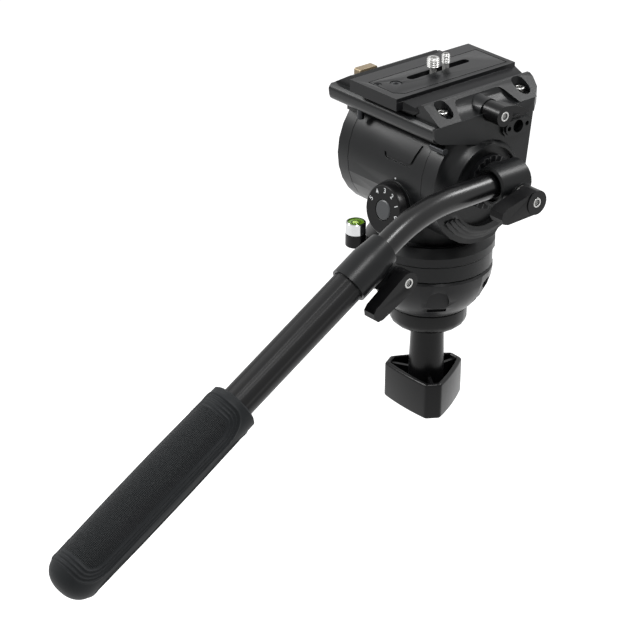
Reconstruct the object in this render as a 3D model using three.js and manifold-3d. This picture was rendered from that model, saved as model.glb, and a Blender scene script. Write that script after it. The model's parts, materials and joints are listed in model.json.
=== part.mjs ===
// Fluid video head with a half-ball base, a fluid drum, a sliding camera plate and a telescopic pan bar.
// Millimetres and degrees. +Z is up and +Y is the way the lens looks, so the operator stands at -Y.
// The origin is the centre of the half ball. The pan bar is on the +X side.
import * as THREE from 'three';
import { mergeVertices } from 'three/addons/utils/BufferGeometryUtils.js';
import Module from 'manifold-3d';

const wasm = await Module();
wasm.setup();

// Sizes that several pieces share
const gap = 0.3; // between two pieces that touch or run on each other
const overrun = 4; // how far a cutter passes the face that it opens
const weld = 1e-4; // vertices nearer than this are one vertex
const discSides = 28; // facets round the drum and the arms
const baseSides = 28; // facets round the ball, the turret and what lies between
const tiltHeight = 81.3; // from the centre of the ball up to the tilt axis

const ball = {
  radius: 48, flatRadius: 30.9, topDrop: 1.5, rimStart: 3.2, rimBevel: 1.5, socketDepth: 10,
  pocketCount: 6, pocketWidth: 17, pocketTop: 8.6, pocketBottom: 28.6, pocketRadius: 41, archRound: 8,
  footRound: 1.2, slotHeight: 3.4, slotRadius: 36, pocketTurn: -34.3,
};
const baseRing = { radius: 47.4, top: 11.5, bevel: 0.9 };
const stud = { radius: 6, depthInBall: 18, reach: 75 };
const spindle = { radius: 10, rise: 19 };
const cup = {
  radius: 30, wall: 9.7, dome: 9, footRadius: 16, bevel: 1.2, bore: 6.6,
};
const knob = {
  sleeveTopRadius: 12.6, sleeveFootRadius: 13.8, sleeve: 38, height: 30, cornerRadius: 36, sideRadius: 21.8,
  cornerRound: 5.5, sideRound: 13, bevel: 2, pocketDepth: 17, wallShare: 0.84, rib: 4.2, studHole: 11, turn: 84.4,
};
const turret = {
  radius: 49, bottom: -69.2, wallTop: -62, rimRadius: 44, rimTop: -55.5, rimInside: 41.5, dishRadius: 35,
  dishFloor: -58.2, neckRadius: 33, neckTop: -40, edge: 1,
};
const drum = {
  radius: 50, left: -38.85, right: 40.25, leftWell: 22, leftWellRadius: 36, rightWell: 26, rightWellRadius: 31,
  grooveWidth: 1.5, grooveDepth: 1.2,
};
const panel = {
  footLeft: -1, footRight: 27.5, bottom: 12.4, topLeft: -6.6, topRight: 33.4, top: 29, corner: 3.5, leftTop: 16.2,
  footWidth: 2.2,
};
const axle = { radius: 8, left: -47, right: 51 };
const dial = {
  x: 13.7, y: -61.7, z: -21.3, lean: 9.7, radius: 18.8, length: 7.8, bevel: 1.1, bossRadius: 7.6, bossDepth: 1.6,
  seat: 14, backRadius: 20.2, seatRadius: 21.3, gripShare: 0.3,
};
const level = {
  x: -27.7, y: -50.8, top: -48, radius: 7.7, ringHeight: 9, cupHeight: 10.2, lip: 1.2, vialDepth: 4,
  bevel: 0.6, armWidth: 7, armHeight: 6, armReach: 12,
};
const arm = {
  outer: 50, leftFace: -52, rightFace: 54, shoulder: 40, shoulderFront: 46, shoulderZ: 31.6, top: 40.7, bevel: 1.6,
};
const terraces = { radii: [45.6, 42.6, 39.8, 37.2], step: 2, from: -148, to: -40, lap: 0.4 };
const well = { y: -4.5, z: -2, radius: 30.6, floor: 57.5 };
const flare = [[44, 0], [38.5, 0.9], [35.2, 3.4], [33.4, 6.6], [32.4, 8]]; // radius, height over the arm's face
const armFront = {
  start: 46, topY: 44.4, topZ: 53.7, midY: 38.6, midZ: 6, lowY: 35.5, lowZ: -14, footY: 27, footZ: -33, endY: 12,
  endZ: -50,
};
const accessory = {
  y: 24.8, z: 37.5, half: 14, radius: 7.4, stand: 3.6, bevel: 1.6, bore: 5, boreDepth: 6, pinAt: 8.9, pin: 1.9,
  pinDepth: 4,
};
const curtain = {
  outside: 58.4, rear: -55.2, rearTop: 53.7, rearLow: 46.6, lowStart: -50.6, lowStartZ: 41.4, lowEnd: -11,
  lowEndZ: 31.2, corner: 5,
};
const rosette = { radius: 20.6, flange: 16.6, inside: 9.6, face: 62.3, teeth: 20, toothDepth: 1.3 };
const platform = {
  halfWidth: 56, rear: -55, front: 56, floor: 54, under: 41, lipDrop: 2.6, lipRound: 9, drumGap: 0.6,
  frontDrop: 3, frontRun: 11, noseX: 44, cornerX: 51.5, cornerY: 53, sideY: 46.4, railInner: 33.6, railCrest: 38,
  railTopOut: 40.6, railTop: 65, leftRailDrop: 1.8, lipZ: 62.3, grooveHalf: 36.9, grooveTop: 60.8, grooveLow: 58.6,
  floorHalf: 30.6, slopeFoot: 54, railRear: -50, leftRailRear: -48, leftRailFront: 36, wedge: 6,
};
const lockPocket = { topHalf: 22.7, footHalf: 30.6, topX: 43, footX: 57.5, sag: 2.2, corner: 4.5, cover: 8 };
const slopeScrew = {
  x: 45.2, rearY: -36, frontY: 40.6, headTop: 59.2, headRadius: 4.4, headHeight: 4.4, shank: 2.4, length: 20,
  boreRadius: 6, boreRun: 3.5, socket: 2.1, socketDepth: 2.4,
};
const peg = {
  radius: 2.6, leftX: -31, leftY: -45.2, leftLow: 31.8, rightY: -43, rightZ: 33.6, rightStart: 42.8, rightEnd: 57.5,
};
const endCap = { radius: 25, thickness: 2, spigot: 12 };
const catchButton = { x: -45, rear: -37, front: -20, width: 7, top: 64.4, depth: 6.5, travel: 2, bevel: 0.9 };
const lockLever = {
  y: 0, z: 54.5, hubRadius: 7.7, shaftRadius: 3.8, hubEnd: 72.7, bladeStart: 61, shaftStart: 46, housing: 9.3,
  housingDrop: 1, housingStart: 41,
};
// The plate lock's blade round its hub's centre: y, z and the rounding of each corner
const lockBlade = [
  [-2, 7.4], [7, 7.1, 5], [16, 3.7, 6], [24, -0.7, 1], [24.4, -2.8, 0.8], [21, -1.8, 1], [18.6, -4, 0.8],
  [16.6, -3.2, 1], [12, -0.2, 4], [5, 2.2, 3], [2, -3],
];
const plate = {
  halfWidth: 25, rear: -61.5, front: 56, top: 68.3, sideDrop: 3, wingHalf: 33, wingZ: 62, catchHalf: 36.5,
  catchTop: 60.6, catchLow: 58.9, footHalf: 30.1, footZ: 54.4, footRear: -50, noseFloor: 59.1, wingRear: -55.5,
  cornerCut: 9,
  slotRear: -28, slotFront: 32, slotWidth: 6.6, channelHalf: 9, channelTop: 64.4, channelRear: -34,
  channelFront: 40, lineWidth: 0.7, lineDepth: 0.5, lineInset: 4.2, lineLeft: -12.5, linePlateCut: 6,
};
const plateScrew = {
  bigY: -40.5, bigX: 1.2, bigRadius: 4.6, smallY: -52.4, smallX: -5.2, smallRadius: 3, depth: 2.4, head: 1.7,
  socketShare: 0.45, boss: 0.9,
};
const cameraScrew = {
  bigY: -3.1, bigRadius: 4.76, bigHead: 6.4, smallY: 9.4, smallRadius: 3.175, smallHead: 5.6, stand: 10.4,
  neck: 2.5, neckTop: 3.2, headTop: 64, headLow: 60.4, ridge: 0.45, pitch: 1.6, tip: 1, socketShare: 0.45,
  socketDepth: 1.8,
};
const barMount = {
  x: 78, z: 7.5, radius: 14, rear: -18, front: 12, bevel: 1.4, bossRadius: 10.8, bossEnd: 92.5, bossDrop: -1.2,
  flangeStart: 64.1, flangeEnd: 68.5, socketEnd: -6.2, mouthRadius: 11.8, mouthDepth: 3.5,
};
const clampBolt = { radius: 3.4, start: 64.6, end: 96 };
const washer = { radius: 8.6, thickness: 1.8 };
const clampLever = { length: 14, hubRadius: 9.2, tipRadius: 6.4, reach: 28, angle: 187, thickness: 12.4 };
const leverScrew = { radius: 3.7, recess: 2.8, rim: 1.2, rimDepth: 0.7, socket: 1.5, socketDepth: 1.1 };
const bar = {
  radius: 9, startY: -6.5, bendY: -86, slope: 30.4, bendRadius: 112, inside: 150, sides: 18,
};
const collar = {
  start: 36, length: 39.2, slant: 4, radius: 14.3, neckRadius: 12, taper: 12, edge: 1, slit: 2, earHeight: 19.1,
  earHalf: 9.4, earLength: 12, earAt: 8.6, earRound: 8, tubeLap: 22,
};
const collarLever = {
  hubRadius: 8, hubLength: 13, reach: 30.5, tipRadius: 6, thickness: 10.4, boltRadius: 2.6,
};
const outerTube = {
  radius: 12.2, bore: 9.3, end: 270, fluteCount: 8, fluteWidth: 3.2, fluteDepth: 0.9,
};
const grip = {
  start: 191, end: 364.5, endRadius: 18.2, midRadius: 19.4, cuffRadius: 15.2, cuff: 4, edge: 1, capRound: 14,
};
const panLock = {
  x: -52.2, y: 14, z: -63, hub: 7, hubLength: 14, reach: 30, tip: 4.6, thickness: 7, stem: 4, seat: 6,
};
const tiltLock = {
  x: -18, y: 46.5, z: -52, hub: 7.5, hubLength: 14, reach: 32, tip: 4.8, thickness: 7, stem: 4, seat: 7,
};

// Shape helpers

const axes = { x: new THREE.Vector3(1, 0, 0), y: new THREE.Vector3(0, 1, 0), z: new THREE.Vector3(0, 0, 1) };

// A closed three.js geometry as a solid that can be joined and cut.
function solid(geometry) {
  const bare = geometry.index ? geometry.toNonIndexed() : geometry.clone();
  bare.deleteAttribute('normal');
  bare.deleteAttribute('uv');
  const merged = mergeVertices(bare, weld);
  const index = merged.index.array;
  const kept = [];
  for (let i = 0; i < index.length; i += 3) {
    const [a, b, c] = [index[i], index[i + 1], index[i + 2]];
    if (a !== b && b !== c && c !== a) kept.push(a, b, c);
  }
  const vertProperties = merged.attributes.position.array;
  return new wasm.Manifold(new wasm.Mesh({ numProp: 3, vertProperties, triVerts: new Uint32Array(kept) }));
}

// A solid as a three.js mesh under its name.
function piece(name, made, material) {
  const { vertProperties, triVerts, numProp } = made.getMesh();
  const position = new Float32Array((vertProperties.length / numProp) * 3);
  for (let i = 0; i < position.length / 3; i++) {
    position.set(vertProperties.subarray(i * numProp, i * numProp + 3), i * 3);
  }
  const geometry = new THREE.BufferGeometry();
  geometry.setAttribute('position', new THREE.BufferAttribute(position, 3));
  geometry.setIndex(new THREE.BufferAttribute(new Uint32Array(triVerts), 1));
  geometry.computeVertexNormals();
  const mesh = new THREE.Mesh(geometry, material);
  mesh.name = name;
  return mesh;
}

// A geometry made along Z, turned to run along another axis.
function along(axis, geometry) {
  if (axis === 'x') return geometry.rotateY(Math.PI / 2);
  if (axis === 'y') return geometry.rotateX(-Math.PI / 2);
  return geometry;
}

// A round piece about Z from its half outline, [radius, height] points from the bottom up its outside.
function turned(outline, sides, axis = 'z') {
  const points = outline.map(([radius, height]) => new THREE.Vector2(radius, height));
  return along(axis, new THREE.LatheGeometry(points, sides).rotateX(Math.PI / 2));
}

// A plain round bar along an axis, from low to high.
function rod(radius, low, high, sides, axis = 'z') {
  return turned([[0, low], [radius, low], [radius, high], [0, high]], sides, axis);
}

// A tube along an axis, from low to high.
function tube(outside, inside, low, high, sides, axis = 'z') {
  const outline = [[inside, low], [outside, low], [outside, high], [inside, high], [inside, low]];
  return turned(outline, sides, axis);
}

// Points of an arc about a centre, from one angle to another.
function arc(cx, cy, radius, from, to, steps) {
  return Array.from({ length: steps + 1 }, (_, i) => {
    const angle = THREE.MathUtils.degToRad(from + ((to - from) * i) / steps);
    return [cx + radius * Math.cos(angle), cy + radius * Math.sin(angle)];
  });
}

const cornerShare = 0.48; // the most of an edge that one rounded corner takes

// A closed outline from [x, y] points, or [x, y, r] where the corner is rounded with radius r.
function outlineOf(points) {
  const shape = new THREE.Shape();
  points.forEach(([x, y, round = 0], i) => {
    const here = new THREE.Vector2(x, y);
    const before = new THREE.Vector2(...points[(i + points.length - 1) % points.length].slice(0, 2));
    const after = new THREE.Vector2(...points[(i + 1) % points.length].slice(0, 2));
    const r = Math.min(round, here.distanceTo(before) * cornerShare, here.distanceTo(after) * cornerShare);
    const start = here.clone().add(before.clone().sub(here).setLength(r));
    const end = here.clone().add(after.clone().sub(here).setLength(r));
    if (i === 0) shape.moveTo(start.x, start.y);
    else shape.lineTo(start.x, start.y);
    if (r > 0) shape.quadraticCurveTo(x, y, end.x, end.y);
  });
  shape.closePath();
  return shape;
}

// A shape pushed along an axis from low to high: drawn in (y, z) for x, in (x, z) for y and in (x, y) for z.
function pushed(axis, shape, low, high, curveSegments = 3) {
  const geometry = new THREE.ExtrudeGeometry(shape, { depth: high - low, bevelEnabled: false, curveSegments });
  const frame = new THREE.Matrix4();
  if (axis === 'x') frame.makeBasis(axes.y, axes.z, axes.x).setPosition(low, 0, 0);
  if (axis === 'y') frame.makeBasis(axes.x, axes.z, axes.y.clone().negate()).setPosition(0, high, 0);
  if (axis === 'z') frame.setPosition(0, 0, low);
  return geometry.applyMatrix4(frame);
}

function box(x0, x1, y0, y1, z0, z1) {
  const geometry = new THREE.BoxGeometry(x1 - x0, y1 - y0, z1 - z0);
  return geometry.translate((x0 + x1) / 2, (y0 + y1) / 2, (z0 + z1) / 2);
}

function join(first, ...others) {
  return others.reduce((sum, other) => sum.add(other), first);
}

function cut(first, ...others) {
  return others.reduce((rest, other) => rest.subtract(other), first);
}

// The outline of a lever: a round hub at the centre and a smaller round tip at an angle.
function leverOutline(hub, tip, reach, angle, steps = 4) {
  const spread = THREE.MathUtils.radToDeg(Math.acos((hub - tip) / reach));
  const turn = THREE.MathUtils.degToRad(angle);
  const tipArc = arc(reach * Math.cos(turn), reach * Math.sin(turn), tip, angle - spread, angle + spread, steps);
  const hubArc = arc(0, 0, hub, angle + spread, angle - spread + 360, steps * 2);
  return outlineOf([...tipArc, ...hubArc]);
}

const capScrewEdgeShare = 0.14; // the bevel round a screw's head, as a share of the head's radius

// A cap screw head with a hexagon socket, its top at the origin and its shank going down Z.
function capScrew(headRadius, headHeight, shank, length, socket, socketDepth) {
  const outline = [[0, -headHeight - length], [shank, -headHeight - length], [shank, -headHeight],
    [headRadius, -headHeight], [headRadius, -headRadius * capScrewEdgeShare],
    [headRadius * (1 - capScrewEdgeShare), 0], [0, 0]];
  return cut(solid(turned(outline, 14)), solid(rod(socket, -socketDepth, overrun, 6)));
}

const finish = (color, roughness, metalness) => new THREE.MeshStandardMaterial({ color, roughness, metalness });
const finishes = {
  painted: () => finish('#2b2c2e', 0.55, 0.3),
  anodised: () => finish('#1f2022', 0.42, 0.6),
  gloss: () => finish('#0d0d0e', 0.22, 0.3),
  rubber: () => finish('#2d3238', 0.85, 0),
  steel: () => finish('#c9cbcd', 0.3, 1),
  blackened: () => finish('#1d1e20', 0.5, 0.8),
  moulded: () => finish('#1b1b1d', 0.6, 0),
  fluid: () => finish('#9fc21c', 0.15, 0),
  amber: () => finish('#b98a4a', 0.5, 0.1),
};

const model = new THREE.Group();
const head = new THREE.Group(); // its origin is the tilt axis, above the ball
head.position.z = tiltHeight;
model.add(head);

// Half ball and the pieces that stay with it

const ballFlat = -Math.sqrt(ball.radius ** 2 - ball.flatRadius ** 2);
const degreesOnBall = (height) => THREE.MathUtils.radToDeg(Math.asin(height / ball.radius));

function makeHalfBall() {
  const side = arc(0, 0, ball.radius, degreesOnBall(ballFlat), degreesOnBall(-ball.rimStart), 5);
  const body = solid(turned([[0, ballFlat], ...side, [ball.radius - ball.rimBevel, -ball.topDrop],
    [0, -ball.topDrop]], baseSides));
  const studHole = solid(rod(stud.radius + gap, ballFlat - overrun, ballFlat + stud.depthInBall + gap, 16));
  const socket = solid(rod(spindle.radius + gap, -ball.topDrop - ball.socketDepth, overrun, 18));
  const half = ball.pocketWidth / 2;
  const pockets = Array.from({ length: ball.pocketCount }, (_, i) => {
    const turn = THREE.MathUtils.degToRad(ball.pocketTurn + (i / ball.pocketCount) * 360);
    const arch = pushed('x', outlineOf([
      [-half, -ball.pocketBottom, ball.footRound], [half, -ball.pocketBottom, ball.footRound],
      [half, -ball.pocketTop, ball.archRound], [-half, -ball.pocketTop, ball.archRound],
    ]), ball.pocketRadius, ball.radius + overrun, 2);
    const slot = box(ball.slotRadius, ball.radius, ball.footRound - half, half - ball.footRound,
      -ball.pocketBottom, ball.slotHeight - ball.pocketBottom);
    return join(solid(arch.rotateZ(turn)), solid(slot.rotateZ(turn)));
  });
  return cut(body, studHole, socket, ...pockets);
}

function makeBaseRing() {
  const low = -ball.topDrop + gap;
  const outline = [[spindle.radius + gap, low], [baseRing.radius - baseRing.bevel, low],
    [baseRing.radius, low + baseRing.bevel], [baseRing.radius, baseRing.top], [spindle.radius + gap, baseRing.top],
    [spindle.radius + gap, low]];
  return solid(turned(outline, baseSides));
}

const spindleLow = -ball.topDrop - ball.socketDepth + gap;
const spindleTop = baseRing.top + spindle.rise;
model.add(
  piece('half_ball', makeHalfBall(), finishes.anodised()),
  piece('base_ring', makeBaseRing(), finishes.painted()),
  piece('bowl_stud', solid(rod(stud.radius, ballFlat - stud.reach, ballFlat + stud.depthInBall, 16)),
    finishes.steel()),
  piece('pan_spindle', solid(rod(spindle.radius, spindleLow, spindleTop, 18)), finishes.steel()),
);

// Bowl clamp: the cup under the ball and the long knob on the stud

const cupTop = ballFlat - gap;
const cupFoot = cupTop - cup.wall - cup.dome;

function makeCup() {
  const dome = Array.from({ length: 5 }, (_, i) => {
    const angle = (i / 4) * (Math.PI / 2);
    return [cup.footRadius + (cup.radius - cup.footRadius) * Math.sin(angle),
      cupTop - cup.wall - cup.dome * Math.cos(angle)];
  });
  return solid(turned([[cup.bore, cupFoot], ...dome, [cup.radius, cupTop - cup.bevel],
    [cup.radius - cup.bevel, cupTop], [cup.bore, cupTop], [cup.bore, cupFoot]], 20));
}

function makeKnob() {
  const top = cupFoot - gap - knob.sleeve;
  const low = top - knob.height;
  const grown = (share) => Array.from({ length: 6 }, (_, i) => {
    const angle = THREE.MathUtils.degToRad(knob.turn + (i / 6) * 360);
    const radius = (i % 2 ? knob.sideRadius : knob.cornerRadius) * share;
    const round = (i % 2 ? knob.sideRound : knob.cornerRound) * share;
    return [radius * Math.cos(angle), radius * Math.sin(angle), round];
  });
  const slabShape = outlineOf(grown(1));
  const slab = new THREE.ExtrudeGeometry(slabShape, {
    depth: knob.height - 2 * knob.bevel, bevelEnabled: true, bevelThickness: knob.bevel, bevelSize: knob.bevel,
    bevelOffset: -knob.bevel, bevelSegments: 2, curveSegments: 3,
  }).translate(0, 0, low + knob.bevel);
  const sleeve = solid(turned([[0, low + knob.bevel], [knob.sleeveFootRadius, low + knob.bevel],
    [knob.sleeveFootRadius, top], [knob.sleeveTopRadius, top + knob.sleeve], [0, top + knob.sleeve]], 24));
  const ribs = [0, 1, 2].map((i) => solid(box(0, knob.cornerRadius, -knob.rib / 2, knob.rib / 2, low, top)
    .rotateZ(THREE.MathUtils.degToRad(knob.turn + i * 120))));
  const well = pushed('z', outlineOf(grown(knob.wallShare)), top - knob.pocketDepth, top + overrun);
  const pocket = cut(solid(well), sleeve, ...ribs);
  const hole = solid(rod(stud.radius + gap, low + knob.studHole, top + knob.sleeve + overrun, 16));
  return cut(join(cut(solid(slab), pocket), sleeve), hole);
}

model.add(
  piece('clamp_cup', makeCup(), finishes.moulded()),
  piece('bowl_knob', makeKnob(), finishes.moulded()),
);

// Turret: the turning part on the pan spindle, with the saddle that carries the drum

const turretBore = spindle.radius + gap;
const spindleTopInHead = spindleTop - tiltHeight;

function makeTurret() {
  const outline = [[0, turret.bottom], [turret.radius - turret.edge, turret.bottom],
    [turret.radius, turret.bottom + turret.edge], [turret.radius, turret.wallTop],
    [turret.rimRadius, turret.rimTop], [turret.rimInside, turret.rimTop],
    [turret.dishRadius, turret.dishFloor], [turret.neckRadius, turret.dishFloor + turret.edge],
    [turret.neckRadius - turret.edge, turret.neckTop], [0, turret.neckTop]];
  const panLockSeat = solid(rod(panLock.seat, panLock.x + gap, -turret.dishRadius, 18, 'x')
    .translate(0, panLock.y, panLock.z));
  const tiltLockSeat = solid(rod(tiltLock.seat, 0, tiltLock.y - gap, 18, 'y')
    .translate(tiltLock.x, 0, tiltLock.z));
  return cut(
    join(solid(turned(outline, baseSides)), panLockSeat, tiltLockSeat),
    solid(rod(turretBore, turret.bottom - overrun, spindleTopInHead + gap, 18)),
    solid(rod(drum.radius + gap, -arm.outer, arm.outer, discSides, 'x')),
  );
}
head.add(piece('turret', makeTurret(), finishes.painted()));

// Drum: the casing of the tilt drag and the counterbalance, with the pieces in it

const dialFrame = new THREE.Matrix4()
  .makeRotationX(THREE.MathUtils.degToRad(90 - dial.lean))
  .setPosition(dial.x, dial.y, dial.z);

function makeDrum() {
  const casing = solid(rod(drum.radius, drum.left, drum.right, discSides, 'x'));
  const seat = solid(rod(dial.seatRadius, -dial.length - gap - dial.seat, -dial.length - gap, 28)
    .applyMatrix4(dialFrame));
  const dialRoom = solid(rod(dial.backRadius + gap, -dial.length - gap, overrun, 28).applyMatrix4(dialFrame));
  const panelShape = (inset, lowInset) => pushed('y', outlineOf([
    [panel.footLeft + inset, panel.bottom + lowInset, panel.corner - inset],
    [panel.footRight - inset, panel.bottom + lowInset, panel.corner - inset],
    [panel.topRight - inset, panel.top + overrun], [panel.topLeft + inset, panel.top + overrun],
  ]), -drum.radius - overrun, 0);
  const groove = cut(solid(panelShape(0, 0)), solid(panelShape(drum.grooveWidth, panel.footWidth)),
    solid(box(drum.left, drum.right, -drum.radius - overrun, 0, panel.top, drum.radius)),
    solid(box(drum.left, panel.footLeft + panel.corner, -drum.radius - overrun, 0, panel.leftTop, drum.radius)),
    solid(rod(drum.radius - drum.grooveDepth, drum.left, drum.right, discSides, 'x')));
  return cut(join(casing, seat), dialRoom, groove,
    solid(rod(axle.radius + gap, drum.left - overrun, drum.right + overrun, 18, 'x')),
    solid(rod(drum.leftWellRadius, drum.left - overrun, drum.left + drum.leftWell, 20, 'x')),
    solid(rod(drum.rightWellRadius, drum.right - drum.rightWell, drum.right + overrun, 20, 'x')));
}

const cartridge = tube(drum.leftWellRadius - gap, axle.radius + gap, drum.left + gap,
  drum.left + drum.leftWell - gap, 20, 'x');
const springPack = tube(drum.rightWellRadius - gap, axle.radius + gap, drum.right - drum.rightWell + gap,
  drum.right - gap, 20, 'x');
head.add(
  piece('drum_casing', makeDrum(), finishes.painted()),
  piece('tilt_drag_cartridge', solid(cartridge), finishes.steel()),
  piece('counterbalance_spring_pack', solid(springPack), finishes.steel()),
  piece('tilt_axle', solid(rod(axle.radius, axle.left, axle.right, 18, 'x')), finishes.steel()),
);

// Counterbalance dial on the drum's rear

function makeDial() {
  const outline = [[0, -dial.length], [dial.backRadius, -dial.length],
    [dial.backRadius, -dial.length * (1 - dial.gripShare)], [dial.radius, -dial.bevel],
    [dial.radius - dial.bevel, 0], [0, 0]];
  return cut(solid(turned(outline, 32)), solid(rod(dial.bossRadius + gap, -dial.bossDepth, overrun, 18)));
}
const dialGroup = new THREE.Group();
dialGroup.applyMatrix4(dialFrame);
dialGroup.add(
  piece('counterbalance_dial', makeDial(), finishes.moulded()),
  piece('dial_cap', solid(turned([[0, gap - dial.bossDepth], [dial.bossRadius, gap - dial.bossDepth],
    [dial.bossRadius, -gap], [dial.bossRadius - dial.bevel, gap], [0, gap]], 18)), finishes.painted()),
);
head.add(dialGroup);

// Bubble level on the turret's side

function makeLevelCup() {
  const low = level.top - level.ringHeight - gap - level.cupHeight;
  const cupSolid = solid(turned([[0, low], [level.radius - level.bevel, low], [level.radius, low + level.bevel],
    [level.radius, low + level.cupHeight], [0, low + level.cupHeight]], 20).translate(level.x, level.y, 0));
  const inward = Math.atan2(-level.y, -level.x);
  const bracket = solid(box(0, level.armReach, -level.armWidth / 2, level.armWidth / 2, low + level.bevel,
    low + level.armHeight).rotateZ(inward).translate(level.x, level.y, 0));
  const clearOfTurret = solid(rod(turret.radius + gap, low - overrun, level.top, baseSides));
  return cut(join(cupSolid, bracket), clearOfTurret);
}

function makeLevelRing() {
  const low = level.top - level.ringHeight;
  const inside = level.radius - level.lip;
  const outline = [[0, low], [level.radius, low], [level.radius, level.top - level.bevel],
    [level.radius - level.bevel, level.top], [inside, level.top], [inside, level.top - level.vialDepth],
    [0, level.top - level.vialDepth]];
  return solid(turned(outline, 20).translate(level.x, level.y, 0));
}

const vial = rod(level.radius - level.lip - gap, level.top - level.vialDepth + gap, level.top - gap, 20)
  .translate(level.x, level.y, 0);
head.add(
  piece('level_cup', makeLevelCup(), finishes.moulded()),
  piece('level_ring', makeLevelRing(), finishes.steel()),
  piece('level_vial', solid(vial), finishes.fluid()),
);

// Lock levers on the far side and on the front of the turret

// A lever's screw along Z with its top at the origin: a raised rim round a hexagon socket.
function makeLeverScrew() {
  const { radius, recess, rim, rimDepth, socket, socketDepth } = leverScrew;
  const outline = [[0, gap - recess], [radius, gap - recess], [radius, 0], [radius - rim, 0],
    [radius - rim, -rimDepth], [0, -rimDepth]];
  return cut(solid(turned(outline, 12)), solid(rod(socket, -rimDepth - socketDepth, overrun, 6)));
}

// The same screw pointing along +X, with its top at x.
function screwAlongX(name, x) {
  const screw = piece(name, makeLeverScrew(), finishes.steel());
  screw.rotation.y = Math.PI / 2;
  screw.position.x = x;
  return screw;
}

function makeLockLever(sizes) {
  const paddle = solid(pushed('z', leverOutline(sizes.hub, sizes.tip, sizes.reach, 0), sizes.stem,
    sizes.stem + sizes.thickness));
  const hubSolid = solid(rod(sizes.hub, 0, sizes.hubLength, 18));
  const seat = solid(rod(leverScrew.radius + gap, sizes.hubLength - leverScrew.recess,
    sizes.hubLength + overrun, 12));
  return cut(join(paddle, hubSolid), seat);
}

function lockGroup(name, sizes, outward, lean) {
  const group = new THREE.Group();
  group.position.set(sizes.x, sizes.y, sizes.z);
  group.quaternion.setFromUnitVectors(axes.z, outward);
  const lever = piece(name + '_lever', makeLockLever(sizes), finishes.moulded());
  lever.rotation.z = THREE.MathUtils.degToRad(lean);
  const screwHead = piece(name + '_screw', makeLeverScrew(), finishes.steel());
  screwHead.position.z = sizes.hubLength;
  group.add(lever, screwHead);
  return group;
}
head.add(
  lockGroup('pan_lock', panLock, axes.x.clone().negate(), 90),
  lockGroup('tilt_lock', tiltLock, axes.y, 90),
);

// Arms: the discs on both sides of the drum that carry the platform

function discWithNeck(low, high) {
  const disc = solid(rod(arm.outer, low, high, discSides, 'x'));
  const neck = solid(pushed('x', outlineOf([[-arm.shoulder, arm.shoulderZ], [arm.shoulder, arm.shoulderZ],
    [arm.shoulderFront, arm.top], [-arm.shoulder, arm.top]]), low, high));
  return join(disc, neck);
}

const axleHole = solid(rod(axle.radius + gap, axle.left - gap, axle.right + gap, 18, 'x'));

function makeLeftArm() {
  const blank = discWithNeck(arm.leftFace, drum.left - gap);
  const bevelCut = cut(
    solid(rod(arm.outer + overrun, arm.leftFace - overrun, arm.leftFace + arm.bevel, discSides, 'x')),
    solid(turned([[0, arm.leftFace], [arm.outer - arm.bevel, arm.leftFace],
      [arm.outer + overrun, arm.leftFace + arm.bevel + overrun],
      [0, arm.leftFace + arm.bevel + overrun]], discSides, 'x')),
    solid(box(arm.leftFace - overrun, 0, -arm.outer, arm.outer, arm.shoulderZ, arm.outer + overrun)),
  );
  const capSeat = solid(rod(endCap.spigot, arm.leftFace - overrun, axle.left, 18, 'x'));
  return cut(blank, bevelCut, axleHole, capSeat);
}

// The stepped rings at the foot of the arm's outer face and the smooth flare round the rest of it.
function makeArmFace(lipTop) {
  const steps = terraces.radii.flatMap((radius, i) => [
    [radius, arm.rightFace + i * terraces.step], [radius, arm.rightFace + (i + 1) * terraces.step],
  ]);
  const stack = solid(turned([[0, arm.rightFace - overrun], [terraces.radii[0], arm.rightFace - overrun], ...steps,
    [0, lipTop]], discSides, 'x'));
  const wedge = (lap) => solid(pushed('x', outlineOf([[0, 0],
    ...arc(0, 0, arm.outer + overrun * 2, terraces.from + lap, terraces.to - lap, 4)]), 0, lipTop + overrun));
  const flareSides = flare.map(([radius, height]) => [radius, arm.rightFace + height]);
  const smooth = solid(turned([[0, arm.rightFace - overrun], [flare[0][0], arm.rightFace - overrun], ...flareSides,
    [0, lipTop]], discSides, 'x').translate(0, well.y, well.z));
  return join(stack.intersect(wedge(0)), cut(smooth, wedge(terraces.lap)));
}

// The raised seat for accessories on the arm's side: a bore with a locating hole on each side of it.
function makeAccessorySeat() {
  const { y, z, half, radius, stand, bevel } = accessory;
  const shapeAt = (inset) => outlineOf([
    ...arc(y - half + radius, z, radius - inset, 90, 270, 5),
    ...arc(y + half - radius, z, radius - inset, -90, 90, 5)]);
  const top = curtain.outside + stand;
  return join(solid(pushed('x', shapeAt(0), arm.rightFace, top - bevel)),
    solid(pushed('x', shapeAt(bevel), arm.rightFace, top)));
}

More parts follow.
